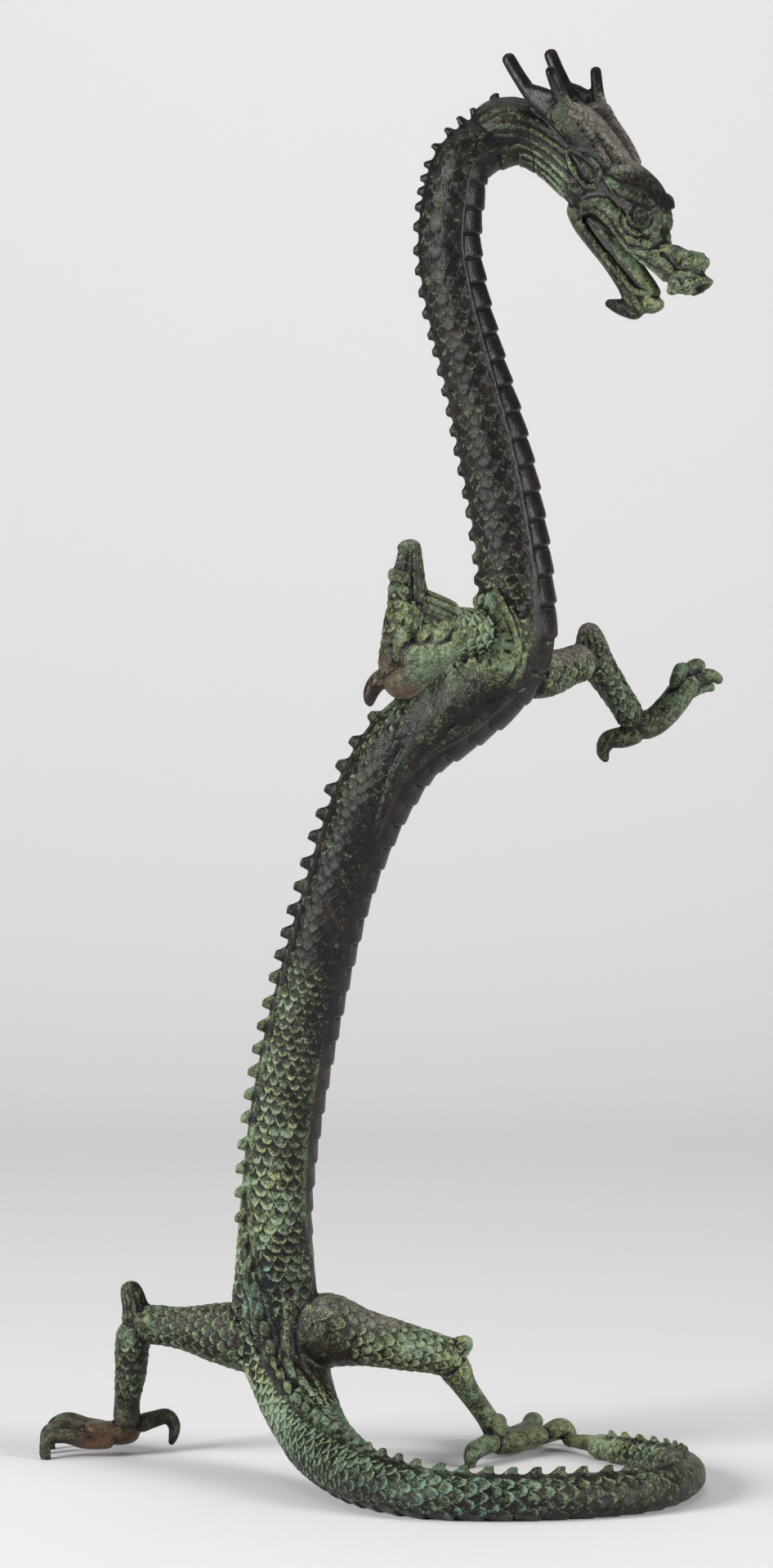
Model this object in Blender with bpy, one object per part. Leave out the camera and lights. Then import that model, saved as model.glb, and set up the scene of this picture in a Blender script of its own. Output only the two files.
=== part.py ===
"""Cast bronze dragon that rears up on its hind feet and the loop of its tail.

The casting is modelled as the founder's wax would be: rolls of wax for the body, the limbs and
the head are laid into each other, worked into one skin, and the skin is faceted.
Rows of numbers are in millimetres. X runs along the dragon, the way it faces, and Z is up.
"""
import math

import bmesh
import bpy
import numpy as np
from mathutils import Matrix, Vector

MM = 0.001

# Driving dimensions, in millimetres
SPIKE_PITCH = 8.6
SPIKE_LENGTH = 8.2
SPIKE_WIDTH = 4.0
SPIKE_FIRST = 31.0
SPIKE_SINK = 1.6
SPIKE_LEAN = 0.16
SPIKE_BLUNT = 0.4
NAPE_CROWDING = 0.56
NAPE_LIFT = 1.8
PLATE_PITCH = 9.5
PLATE_STEP = 1.0
BACK_BAND = 0.7
BELLY_LEDGE = 0.5
BELLY_EDGE = math.radians(107)
BELLY_PLATES = math.radians(130)
NECK_PLATES = math.radians(117)
WAX_GRAIN = 0.95
FACET_SHARE = 0.031
SOLE = 0.5
SNAP = 0.02

# The body from inside the head to the tail's tuft: x, y, z, half width, half depth, and the
# way its back faces there as x, y, z
BODY = [
    (70, -7, 466, 8.0, 7.5, 0.5, -0.2, 0.9),
    (60, -2, 475, 9.0, 8.8, 0.3, 0, 1),
    (48, 1, 478.8, 9.8, 8.8, 0, 0, 1),
    (36.6, 1, 477.6, 10.6, 9.8, -0.35, 0, 1),
    (27.9, 0, 471.9, 11, 9.9, -0.9, 0, 0.5),
    (24.4, 0, 459.9, 11, 10.6, -1, 0, 0.1),
    (22.8, 0, 442, 10.6, 10.9, -1, 0, 0),
    (25.1, 0, 425, 10.8, 11.1, -1, -0.05, 0),
    (30.8, 0, 402, 11.0, 11.2, -1, -0.08, 0),
    (38.1, 0, 373, 12.0, 12.4, -1, -0.1, 0),
    (43.7, 0, 345, 12.4, 12.8, -1, -0.1, 0),
    (46.4, 0, 322, 13.0, 13.2, -1, -0.1, 0),
    (45.4, 1, 304.6, 14.6, 14.8, -1, -0.05, 0.3),
    (39.0, 2, 290.8, 15.0, 15.2, -0.8, 0, 0.7),
    (24.0, 5, 278.0, 15.2, 15.6, -0.7, -0.05, 0.7),
    (7.6, 8, 265.2, 14.6, 14.8, -0.8, -0.08, 0.6),
    (-3.5, 11, 248, 13.4, 14.0, -0.9, -0.12, 0.4),
    (-11.0, 14, 230, 12.0, 12.8, -1, -0.16, 0.3),
    (-16.5, 16, 214, 11.6, 12.2, -1, -0.2, 0.2),
    (-24.0, 21, 187, 12.0, 12.5, -1, -0.26, 0.1),
    (-31.0, 26, 157, 12.6, 13.0, -1, -0.3, 0.1),
    (-36.4, 31, 127, 12.8, 13.0, -1, -0.34, 0),
    (-39.6, 36, 99, 13.4, 13.0, -1, -0.6, 0),
    (-40.4, 41, 75, 14.8, 13.4, -0.6, -0.9, 0),
    (-39.6, 43, 52, 15.6, 14.0, -0.3, -1, 0.1),
    (-34.6, 37, 34, 14.4, 13.4, -0.34, -0.9, 0.4),
    (-27.0, 18, 19.5, 12.6, 12.4, -0.3, -0.5, 0.8),
    (-15.6, -13, 11.8, 11.4, 11.2, -0.1, -0.15, 1),
    (-1.0, -43, 9.4, 9.6, 9.5, 0, 0, 1),
    (14.0, -57, 8.4, 8.8, 8.5, 0, 0, 1),
    (36.0, -61.5, 7.9, 8.2, 7.9, 0, 0, 1),
    (64.0, -57.5, 7.6, 8.0, 7.7, 0, 0, 1),
    (89.0, -45, 7.3, 7.6, 7.4, 0, 0, 1),
    (103.2, -20, 6.9, 7.2, 7.0, 0, 0, 1),
    (106.4, 8, 6.2, 6.6, 6.3, 0, 0, 1),
    (98.0, 36, 5.4, 5.6, 5.5, 0, 0, 1),
    (86.0, 53, 5.0, 5.0, 5.0, 0, 0, 1),
    (76.0, 69, 4.3, 4.4, 4.2, 0, 0, 1),
]

# Limbs from the root to the wrist or ankle: x, y, z, half width, half depth
LEFT_THIGH = [(-36, 43, 48, 13, 13), (-50, 46, 48.5, 13, 13), (-61, 50, 49.2, 11, 11),
              (-77, 57, 50.2, 7.4, 7.4), (-87, 61, 50.4, 7.2, 7.2), (-92, 63, 48.5, 7, 7)]
LEFT_SHIN = [(-91, 62.5, 52, 6.6, 6.6), (-93, 64, 44.8, 6.4, 6.4), (-94.1, 67, 32, 5.7, 5.7),
             (-95.6, 71, 20.8, 4.8, 4.8), (-96, 74, 10.5, 5.4, 5.4)]
RIGHT_THIGH = [(-33, 42, 48, 14, 14), (-22, 38, 51.6, 14, 14), (-9.8, 38, 49.5, 10.6, 10.6),
               (8, 42, 45, 8.4, 8.4), (20, 46, 41.5, 7.2, 7.2), (27, 48.5, 38, 6.6, 6.6)]
RIGHT_SHIN = [(21.4, 47, 42, 6, 6.4), (25.6, 50, 35, 5.6, 6.4), (28.8, 52.5, 29, 4.4, 4.8),
              (32.8, 55, 23, 4.0, 4.0), (37.6, 58.5, 15.5, 4.0, 4.2), (41.4, 62, 8.5, 4.8, 4.8)]
RIGHT_ARM = [(44, 4, 303, 8, 8), (34, -7, 305, 9, 9), (27.6, -14, 306.5, 8.4, 8.4),
             (20.6, -25, 308.5, 7.4, 7.4), (14, -35, 312, 7.2, 7.2), (7, -43, 315.5, 6.8, 6.8)]
RIGHT_FOREARM = [(8, -42.5, 318.5, 6.4, 6.4), (6, -45, 312, 6.6, 6.6), (4, -47, 304, 5.8, 5.8),
                 (2.4, -49, 297, 5.2, 5.2), (2, -50.5, 291, 5, 5)]
LEFT_ARM = [(48, 8, 291, 9.5, 9.5), (57.5, 18, 290.8, 8.2, 8.2), (66.5, 28, 293.4, 6.8, 6.8),
            (73, 34, 295.6, 7.4, 7.4)]
LEFT_FOREARM = [(72.5, 34.5, 299, 6.6, 7), (77, 37, 292, 6, 6.2), (82.8, 40, 283.3, 5.3, 5.5),
                (87.4, 43, 276, 5.1, 5.1), (89.5, 45.5, 270.5, 4.8, 4.8)]

# The fluted tufts at elbows and hocks, the same way
TUFTS = [
    [(-91, 63, 50, 6.6, 4.5), (-92.2, 63, 57, 4.4, 3.2), (-93.8, 63, 63, 3.6, 2.6),
     (-95, 63, 66.6, 2.0, 1.6)],
    [(20, 46, 38.5, 6.2, 4.2), (25.5, 46.5, 43.5, 4.2, 3), (31.3, 46.5, 47.6, 1.8, 1.6)],
    [(7.4, -42, 313, 7, 6.4), (7.4, -41, 322, 6.2, 5), (7.7, -40.4, 328, 5, 4),
     (8.2, -40, 334, 3.8, 3), (8.6, -40, 339.4, 2.4, 2)],
    [(5, -43, 318, 6, 6), (14, -37, 313.8, 7, 6), (24, -27, 308.8, 7, 6.6)],
    [(7.4, -40, 337.4, 2.2, 2), (4, -40, 334.4, 1.2, 1.2)],
    [(74.4, 35, 294, 7.2, 5.4), (73.6, 35, 301, 5.4, 4.2), (72.9, 35, 306.4, 3.4, 2.8),
     (72.8, 35, 309, 1.8, 1.6)],
]

# Muscles and the flame locks behind them, laid on the body's skin: length along the body,
# degrees from its back, half width and half height. The right side's have negative degrees.
SHOULDER = [(202, -40, 3, 1.5), (209, -50, 6.5, 3), (219, -62, 9.5, 4), (232, -68, 10, 4),
            (246, -72, 8.4, 3.2), (262, -78, 5, 2.2), (276, -80, 2, 1.4)]
SHOULDER_LOCKS = [
    [(204, -16, 2.4, 1.2), (214, -26, 6.4, 2.6), (230, -34, 8, 3.2), (246, -40, 7, 2.8),
     (262, -52, 4.6, 2.2), (276, -66, 1.6, 1.4)],
    [(212, -90, 3, 1), (232, -107, 4, 2.4), (250, -112, 3.4, 2.2), (268, -108, 2.4, 1.8),
     (288, -100, 1.2, 1.2)],
    [(238, -74, 3, 1), (258, -84, 3.8, 2.4), (276, -92, 3, 2.2), (294, -100, 2.2, 1.6),
     (312, -106, 1, 1)],
    [(236, -46, 3, 1), (252, -54, 3.6, 2.2), (266, -62, 2.6, 1.8), (282, -70, 1, 1)],
]
HIP_LOCKS = [
    [(485, -42, 1.4, 1.2), (494, -37, 1.9, 1.7), (503, -30, 2, 1.8), (514, -20, 1.7, 1.5)],
    [(513, -20, 1.4, 1.3), (523, -19, 2.5, 1.9), (533, -22, 2.1, 1.6), (543, -26, 0.9, 0.9)],
    [(482, 44, 1.4, 1.2), (496, 50, 2.3, 1.8), (509, 54, 2.1, 1.6), (522, 58, 0.9, 0.9)],
]

# Hands and feet: palms, toes and claws, the same way
PAWS = [
    [(-91, 75, 10, 5, 4.2), (-98, 74, 8.6, 7, 4.6), (-106, 74, 9.2, 7.6, 4), (-112, 74, 10.5, 7, 3)],
    [(-100, 69, 6.6, 3.4, 3.2), (-111, 66.5, 6.8, 3.2, 3), (-119, 65, 8.8, 2.8, 2.7),
     (-124, 64.4, 8, 2.6, 2.6), (-125.6, 63.8, 4, 2.2, 2.3), (-124.4, 63, -1.2, 1.5, 1.7)],
    [(-102, 74, 8.4, 3.4, 3), (-113, 74.5, 9.4, 3, 2.8), (-121, 75, 10.8, 2.7, 2.6),
     (-125.4, 75.4, 8.6, 2.2, 2.3), (-126.4, 75.6, 4.4, 1.8, 1.9), (-125.4, 75.6, -0.6, 1, 1)],
    [(-101, 78, 9, 3.2, 3), (-111, 82, 10.4, 2.8, 2.7), (-119.4, 84.4, 12, 2.7, 2.5),
     (-123.6, 85.4, 9.6, 2.3, 2.3), (-124.8, 86, 4.6, 1.8, 1.9), (-124.2, 86, -1.2, 1.4, 1.4)],
    [(-93, 75, 11, 3.8, 3.8), (-86, 78, 13, 3.2, 3.2), (-81, 80, 13.6, 2.9, 2.9),
     (-78.6, 81, 10, 2.4, 2.4), (-79, 81, 6, 2, 1.8), (-80.2, 81, 2.6, 1, 1)],
    [(39, 59, 7.4, 5, 4.6), (45, 67, 6.4, 6.4, 4.6), (52, 75, 7, 7, 4), (57, 81, 7.6, 6, 3.4)],
    [(40, 60, 8, 4.2, 4), (34.6, 52, 6.8, 3.5, 3.5), (31.4, 46.8, 5.4, 3.4, 3.4),
     (30.4, 45.6, 2.6, 2.4, 2.6), (30.8, 46, -1.2, 1.6, 1.6)],
    [(50, 73, 6, 3.6, 3.4), (58.4, 81, 6.6, 3.4, 3.4), (65.6, 87.6, 7.8, 3.9, 3.9),
     (68.6, 91, 5, 2.4, 2.5), (69, 92, -0.8, 1.2, 1.2)],
    [(47, 73, 8, 3.6, 3.2), (52, 83, 8.6, 3.1, 3.1), (55, 95, 9.4, 3.5, 3.4),
     (56, 101, 6, 2.2, 2.4), (56, 102.4, -1.2, 1.4, 1.4)],
    [(44, 70, 8.4, 3.4, 3), (42, 82, 9, 3, 3), (41.4, 92, 9.6, 3.3, 3.3),
     (41.6, 98, 6, 2.2, 2.4), (42, 99.4, -0.8, 1, 1)],
    [(0.4, -50, 292.4, 5.2, 5.2), (5, -52.5, 289.8, 6, 5.8), (12, -57, 295, 6.6, 5.6),
     (20, -60, 301.2, 6.4, 4.8), (27, -60.5, 305.4, 5, 3.4)],
    [(5, -54.6, 296.6, 4.6, 4.6), (14, -59, 300.4, 6, 5.4), (22, -61, 304, 5, 4.4)],
    [(1, -49.5, 291.4, 3.8, 3.8), (-2.6, -48.4, 290.2, 3.4, 3.4), (-5, -48, 287, 2.9, 2.9),
     (-5.8, -48, 283.6, 2.2, 2.2), (-5.4, -48, 281, 0.9, 0.9)],
    [(4, -54, 297, 4, 3.4), (6, -56.6, 302, 4.2, 3.2), (6.8, -57.4, 306.4, 3.8, 3),
     (6.8, -57, 309.6, 2.2, 1.8)],
    [(10, -57, 297, 4, 3), (13, -60, 302, 3.4, 3), (14, -62, 307, 2.8, 2.6),
     (16.4, -62, 310, 1.8, 1.6)],
    [(16, -60, 300, 3.6, 3), (18.4, -63, 305, 3.2, 2.8), (20, -64, 309, 2.8, 2.5),
     (22, -63, 310.6, 1.6, 1.4)],
    [(22, -61, 303, 3.6, 3), (25, -63.4, 306, 3, 2.8), (27.4, -63.4, 307.4, 2.5, 2.3),
     (29.4, -61, 306.6, 1.4, 1.3)],
    [(88.6, 45.4, 270.2, 5, 5), (96, 47, 272, 5.8, 5.2), (102.8, 48.4, 278, 6.4, 5.2),
     (108.2, 50, 285, 7, 4.8), (112, 50.8, 289, 6, 4)],
    [(93, 45.8, 270, 4.8, 4.4), (86, 46, 267, 4, 4), (80, 46, 265.6, 3.3, 3.3),
     (78.4, 46, 261.8, 2.6, 2.6), (80, 46, 257.6, 1, 1)],
    [(104.6, 46.6, 284, 3, 3), (105.6, 45.8, 289, 2.7, 2.7), (107, 45.4, 291.8, 2.6, 2.6),
     (109.4, 45.2, 290.4, 1.4, 1.4)],
    [(107, 49, 286, 3, 3), (110, 49.6, 291.4, 2.8, 2.7), (113, 50, 293, 2.5, 2.5),
     (115.4, 50, 291, 1.6, 1.6)],
    [(109, 52, 285, 3.2, 3), (114, 53.6, 288.6, 2.8, 2.8), (118, 54, 289, 2.5, 2.5),
     (122.2, 54, 286.4, 1.7, 1.6)],
    [(108, 55, 282, 3, 3), (113.4, 57, 284.4, 2.6, 2.6), (117, 58, 285, 2.3, 2.2),
     (119.6, 58, 283.4, 1.3, 1.2)],
]

# The head in its own frame: forward, left, up, then half width and half height
HEAD_PLACE = (75.0, -10.0, 459.2)
HEAD_YAW = math.radians(-33)
HEAD_PITCH = math.radians(29)
SKULL = [(-26, 0, 7, 8, 8), (-20, 0, 7, 9.2, 9.6), (-12, 0, 5.2, 9.6, 11.4), (0, 0, 4, 9.6, 12.2),
         (8, 0, 4, 9.2, 12.4), (15, 0, 3, 8.4, 11.6), (20, 0, 0.6, 7.6, 9.8),
         (24.5, 0, -3.6, 6.8, 6.6), (29, 0, -6.6, 6.2, 5.0), (36, 0, -6.6, 5.8, 5.2),
         (43, 0, -6, 5.6, 5.2), (48, 0, -5.6, 4.8, 4.6), (50.5, 0, -5, 3.4, 3.4)]
JAW = [(-8, 0, -5, 7, 5), (0, 0, -10.6, 7.4, 4.8), (8, 0, -14, 6.8, 4.4), (16, 0, -17, 6.2, 4.2),
       (25, 0, -21, 5.4, 4.4), (32, 0, -24.6, 4.8, 4.6), (37, 0, -24, 3.4, 4)]
TONGUE = [(0, 0, -7.6, 6.4, 4), (10, 0, -10.4, 6.2, 4), (20, 0, -14, 5.2, 3.6),
          (28, 0, -16.8, 4.2, 3), (34, 0, -18.8, 3.6, 2.6), (38, 0, -20, 2.6, 1.8)]
BEARD = [(35, 0, -27, 3.6, 3.6), (30, 0, -28.8, 3.2, 3.6), (25, 0, -30.4, 2.4, 2.7), (19.6, 0, -31.6, 1, 1.1)]
CHIN = [(33, 0, -24, 4.4, 4), (37.4, 0, -23, 4, 3.4), (39.6, 0, -21, 3, 2.2), (40, 0, -20, 1.6, 1.2)]
PALATE = [(40, 0, -9.6, 5, 3), (45, 0, -12, 6.6, 3), (49, 0, -10.4, 5.6, 2.6)]
NOSE = [(39, 0, -4, 4.4, 3), (44.6, 0, -2.6, 5.2, 3.6), (49, 0, -3.4, 4.4, 3.2)]
HORN_ROOT = [(3, 8, 11, 1.8, 2.4), (-4, 8.6, 13.8, 2.6, 4), (-12, 9.6, 17, 3.4, 5.2),
             (-20, 10.6, 19.4, 3.8, 5.2), (-27, 11.2, 19.8, 3.4, 4)]
HORN_REAR = [(-20, 10.6, 18.6, 3, 3.4), (-32, 11.2, 19.4, 2.7, 3), (-43, 12.2, 24, 2.5, 2.6),
             (-51.6, 13, 28.8, 2.5, 2.5)]
HORN_FRONT = [(-17, 10.6, 20, 2.6, 3.6), (-24, 12.2, 25.4, 2.2, 2.6), (-30, 14.2, 31, 2.1, 2.1),
              (-32.4, 15, 33.6, 2, 2)]
HORN_WEB = [(-40, 12, 21.4, 1.6, 2), (-33, 12.2, 22.4, 1.6, 3), (-26, 12, 23.4, 1.6, 3)]
FAR_HORN_LIFT = 2.2
FOREHEAD = [(7, 0, 12.4, 6, 3), (-4, 0, 16.4, 7.6, 3.2), (-13, 0, 19.4, 8.8, 3.2), (-21, 0, 21.6, 9.4, 2.8),
            (-27, 0, 22, 8.4, 2)]
CREST = [(6, 5.6, 14.6, 1.6, 2), (-4, 7.4, 18.6, 1.8, 3), (-13, 9, 21.2, 2, 3.4),
         (-21, 11, 24, 2, 3.4)]
BROW = [(1, 8, 9.6, 1.4, 1.6), (8, 9.2, 7.8, 1.9, 1.9), (15, 9, 8.2, 2.3, 2.2),
        (21, 7.4, 9.2, 2.4, 2.4), (24.6, 4.6, 8, 1.7, 1.8)]
CHEEK = [(-2, 7.4, -4.6, 3, 3.4), (8, 8, -0.8, 3, 4), (18, 7.4, -3.4, 2.6, 3.8), (27, 6.6, -6.2, 2.2, 3.4),
         (36, 6, -7.8, 1.8, 3), (43, 5.6, -8.6, 1.4, 2.4)]
LIP_ROLL = [(-1, 8, -8, 1.4, 1.4), (4.4, 8.2, -4.2, 1.3, 1.3), (12.6, 8, -4.8, 1.3, 1.3),
            (20.4, 7.4, -8, 1.3, 1.3), (27, 6.8, -9.8, 1.2, 1.2), (35.6, 6.2, -10.8, 1.2, 1.2),
            (42, 6.2, -11.8, 1.4, 1.4)]
JAW_RIM = [(0, 7.4, -9.6, 1.4, 1.6), (7, 6.8, -12.8, 1.3, 1.4), (14, 6.2, -15.6, 1.3, 1.3),
           (22, 5.4, -18.6, 1.2, 1.2), (30, 4.4, -21.2, 1.2, 1.2), (36.6, 2.6, -20.6, 1.2, 1.2)]
NOSTRIL = [(39, 4.2, -3.4, 2.2, 2.2), (44.6, 4.4, -2.4, 2.8, 3.2), (48.4, 3.2, -2.6, 2.4, 2.8)]
EAR_UPPER = [(-14.4, 10.6, 10.6, 0.9, 0.9), (-8, 11.4, 11.6, 1.1, 1.1), (-2, 11.4, 11, 1.1, 1.1),
             (1.6, 10.2, 9, 1.1, 1.1), (2.4, 9, 6.4, 1.2, 1.2)]
EAR_LOWER = [(-14.4, 10.6, 10.2, 0.9, 0.9), (-9.6, 11, 6.4, 1.1, 1.1), (-5, 11, 3.8, 1.1, 1.1),
             (-0.6, 10.2, 2.8, 1.1, 1.1), (2.4, 9, 5, 1.2, 1.2)]
EAR_BACK = [(-14, 9, 9.6, 1.6, 2.4), (-5, 9.2, 7.4, 2, 4.4), (0, 8.6, 6.4, 1.8, 3)]
KNOT = [(-8, 8, -2, 2.6, 2.8), (-3.6, 8.6, -0.6, 2.6, 2.8), (0, 8.2, 0, 2, 2.2)]
EYE = (22, 7.8, 3.2)
EYE_BALL = 2.7
LID_RADIUS = 4.1
LIP_FLUTES = 25
MANE_STRANDS = 22


def smooth_rows(rows, step):
    """Rows read at even steps along the smooth curve through them, and the length at each."""
    rows = np.array(rows, dtype=float)
    gaps = np.linalg.norm(np.diff(rows[:, :3], axis=0), axis=1)
    knots = np.concatenate([[0.0], np.cumsum(gaps)])
    slopes = np.gradient(rows, knots, axis=0)
    fine = np.linspace(0.0, knots[-1], int(8 * knots[-1] / step) + 9)
    at = np.clip(np.searchsorted(knots, fine, side="right") - 1, 0, len(knots) - 2)
    gap = (knots[at + 1] - knots[at])[:, None]
    u = (fine - knots[at])[:, None] / gap
    curve = ((2 * u**3 - 3 * u**2 + 1) * rows[at] + (u**3 - 2 * u**2 + u) * gap * slopes[at]
             + (3 * u**2 - 2 * u**3) * rows[at + 1] + (u**3 - u**2) * gap * slopes[at + 1])
    run = np.concatenate([[0.0], np.cumsum(np.linalg.norm(np.diff(curve[:, :3], axis=0), axis=1))])
    count = max(3, int(round(run[-1] / step)))
    even = np.linspace(0.0, run[-1], count + 1)
    return np.column_stack([np.interp(even, run, column) for column in curve.T]), even


def frames(path):
    """The forward, side and back directions along a path whose last columns hint at the back."""
    ahead = np.gradient(path[:, :3], axis=0)
    ahead /= np.linalg.norm(ahead, axis=1)[:, None]
    back = path[:, 5:8] - (path[:, 5:8] * ahead).sum(axis=1)[:, None] * ahead
    back /= np.linalg.norm(back, axis=1)[:, None]
    return ahead, np.cross(ahead, back), back


def lay(wax, bm):
    """Put one finished shape with the others."""
    mesh = bpy.data.meshes.new("wax")
    bm.to_mesh(mesh)
    bm.free()
    wax.append(mesh)


def roll(wax, rows, back=(0, 0, 1), sides=12, step=1.5, outline=None):
    """One roll of wax: a ball drawn out along its rows, with round ends.

    outline gives how far the skin stands out at an angle from the back and a length along.
    """
    rows = [tuple(row) + (tuple(back) if len(row) == 5 else ()) for row in rows]
    path, length = smooth_rows(rows, step)
    ahead, side, up = frames(path)
    count = len(path) - 1
    reach = np.minimum(length, length[-1] - length)
    end = np.clip(reach / np.maximum(path[:, 3:5].min(axis=1), 0.1), 0.0, 1.0)
    rounding = np.sqrt(1.0 - (1.0 - end) ** 2)
    bm = bmesh.new()
    bmesh.ops.create_uvsphere(bm, u_segments=sides, v_segments=count, radius=1.0)
    for vert in bm.verts:
        ring = int(round(math.acos(max(-1.0, min(1.0, vert.co.z))) / math.pi * count))
        angle = math.atan2(vert.co.x, vert.co.y)
        proud = outline(angle, length[ring]) if outline else 0.0
        across = rounding[ring] * (path[ring, 3] + proud) * math.sin(angle)
        deep = rounding[ring] * (path[ring, 4] + proud) * math.cos(angle)
        vert.co = (path[ring, :3] + across * side[ring] + deep * up[ring]) * MM
    lay(wax, bm)


def smooth_step(low, high, value):
    part = max(0.0, min(1.0, (value - low) / (high - low)))
    return part * part * (3 - 2 * part)


def body_outline(angle, along):
    """A raised band down the back, a ledge beside the belly, and the belly's lapping plates."""
    turn = abs(angle)
    band = BACK_BAND * (1 - smooth_step(0.2, 0.34, turn))
    ledge = BELLY_LEDGE * math.exp(-((turn - BELLY_EDGE) / 0.06) ** 2)
    first = NECK_PLATES + (BELLY_PLATES - NECK_PLATES) * smooth_step(185, 230, along)
    belly = smooth_step(first - 0.07, first + 0.07, turn)
    part = (along / PLATE_PITCH) % 1.0
    plate = PLATE_STEP * (part - 0.6) * (1 - smooth_step(0.86, 1.0, part))
    return band + ledge + belly * plate


def spike(bm, place, ahead, up, height, length, width, lean):
    """One lobe of the crest: a flat cone that leans towards the tail."""
    lean = lean * length / height
    axes = Matrix((ahead, ahead.cross(up), up)).transposed().to_4x4()
    shear = Matrix(((1, 0, lean, 0), (0, 1, 0, 0), (0, 0, 1, 0), (0, 0, 0, 1)))
    shape = Matrix.Diagonal((length / 2, width / 2, height, 1))
    where = Matrix.Scale(MM, 4) @ Matrix.Translation(place) @ axes @ shear @ shape
    bmesh.ops.create_cone(bm, cap_ends=True, segments=8, radius1=1.0, radius2=SPIKE_BLUNT, depth=1.0,
                          matrix=where @ Matrix.Translation((0, 0, 0.5)))


def spike_height(along, whole):
    """The crest is low on the neck, tall down the trunk, and dies away at the tail's tuft."""
    neck = smooth_step(0.0, 40.0, along) + 0.35 * (1 - smooth_step(55.0, 80.0, along))
    trunk = smooth_step(230.0, 330.0, along)
    tail = 0.25 * smooth_step(whole * 0.55, whole * 0.7, along)
    tail += 0.3 * smooth_step(whole * 0.75, whole, along)
    return (1.6 * neck + 0.3 + 1.9 * trunk) * (1 - tail)


def body(wax):
    roll(wax, BODY, sides=40, step=1.2, outline=body_outline)
    path, length = smooth_rows(BODY, 1.2)
    ahead, side, up = frames(path)
    whole = length[-1]
    bm = bmesh.new()
    along = SPIKE_FIRST
    while along < whole - 1.5 * SPIKE_PITCH:
        ring = int(np.searchsorted(length, along))
        lift = NAPE_LIFT * (1 - smooth_step(36, 50, along))
        place = path[ring, :3] + (path[ring, 4] + BACK_BAND - SPIKE_SINK + lift) * up[ring]
        size = 0.75 + 0.25 * min(1.0, path[ring, 4] / 9.0)
        crowded = NAPE_CROWDING * (1 - 0.64 * smooth_step(52, 75, along)) * (1 - smooth_step(110, 200, along))
        height = spike_height(along, whole) + SPIKE_SINK
        lean = SPIKE_LEAN * (1 + smooth_step(whole * 0.55, whole * 0.7, along))
        spike(bm, Vector(place), Vector(ahead[ring]), Vector(up[ring]), height,
              SPIKE_LENGTH * size * (1 - 0.7 * crowded), SPIKE_WIDTH * size, lean)
        along += SPIKE_PITCH * (1 - crowded)
    lay(wax, bm)


def laid_on_body(rows):
    """Rows given by length and angle on the body's skin, as places to lay a roll at."""
    path, length = smooth_rows(BODY, 1.2)
    side, up = frames(path)[1:]
    laid = []
    for along, degrees, wide, deep in rows:
        ring = int(np.searchsorted(length, along))
        angle = math.radians(degrees)
        out = math.sin(angle) * side[ring] + math.cos(angle) * up[ring]
        skin = path[ring, :3] + (math.sin(angle) * path[ring, 3] * side[ring]
                                 + math.cos(angle) * path[ring, 4] * up[ring])
        laid.append(tuple(skin) + (wide, deep) + tuple(out))
    return laid


def muscles(wax):
    """Shoulder pads with their flame locks, alike on both sides, and the locks at the hips."""
    for rows in [SHOULDER] + SHOULDER_LOCKS:
        other = [(along, -degrees, wide, deep) for along, degrees, wide, deep in rows]
        roll(wax, laid_on_body(rows))
        roll(wax, laid_on_body(other))
    for rows in HIP_LOCKS:
        roll(wax, laid_on_body(rows))


def tail_tuft(wax):
    """Locks of hair that lie side by side past the tail's last scales, to a point."""
    for number, spread in enumerate((-2.2, -0.8, 0.8, 2.2)):
        lift = 1.2 if number in (1, 2) else 0.0
        roll(wax, [(90, 50 + spread, 5.6 + lift, 2, 2.4), (80, 62 + spread, 5.2 + lift, 2, 2.4),
                  (73, 74 + 0.8 * spread, 4.6 + 0.8 * lift, 1.8, 2),
                  (66, 84.6 + 0.4 * spread, 4.2, 1.4, 1.6)], sides=8)


def limbs(wax):
    for rows in (LEFT_THIGH, LEFT_SHIN, RIGHT_THIGH, RIGHT_SHIN, RIGHT_ARM, RIGHT_FOREARM,
                 LEFT_ARM, LEFT_FOREARM):
        roll(wax, rows, back=(0, -1, 0.2), sides=16)
    for rows in TUFTS:
        roll(wax, rows, back=(0, -1, 0))
    for rows in PAWS:
        roll(wax, rows, back=(0.1, 0.1, 1), step=1.0)


def both_sides(wax, rows, **settings):
    roll(wax, rows, **settings)
    roll(wax, [(row[0], -row[1]) + tuple(row[2:]) for row in rows], **settings)


def eyes(wax):
    """A ball in a ring of lids, on each side of the head."""
    for side in (1, -1):
        ahead, left, up = EYE
        bm = bmesh.new()
        bmesh.ops.create_uvsphere(bm, u_segments=14, v_segments=10, radius=EYE_BALL * MM,
                                  matrix=Matrix.Translation(Vector((ahead, side * (left - 1.1), up)) * MM))
        lay(wax, bm)
        lids = []
        for number in range(13):
            turn = 2 * math.pi * number / 12
            lids.append((ahead + LID_RADIUS * math.cos(turn), side * (left - 1.5 * math.cos(turn)),
                         up + LID_RADIUS * 0.92 * math.sin(turn), 0.8, 0.8))
        roll(wax, lids, back=(0, 1, 0), sides=8, step=0.8)


def upper_lip(wax):
    """The flared lip: flutes side by side from under the nose to a rim that arches in front."""
    for number in range(LIP_FLUTES):
        turn = -1.0 + 2.0 * number / (LIP_FLUTES - 1)
        wide = math.sin(turn * math.pi / 2)
        front = math.cos(turn * math.pi / 2)
        root = (41.6 + 5 * front, 5 * wide, -7.8 + 3.4 * front, 2.2, 2.0)
        middle = (44 + 7 * front, 6.2 * wide, -12.4 + 7 * front ** 1.4, 1.7, 1.1)
        rim = (45.6 + 9 * front, 7.6 * wide, -15.6 + 10.4 * front ** 1.4, 1.4, 0.9)
        roll(wax, [root, middle, rim], sides=8, step=0.8)


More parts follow.
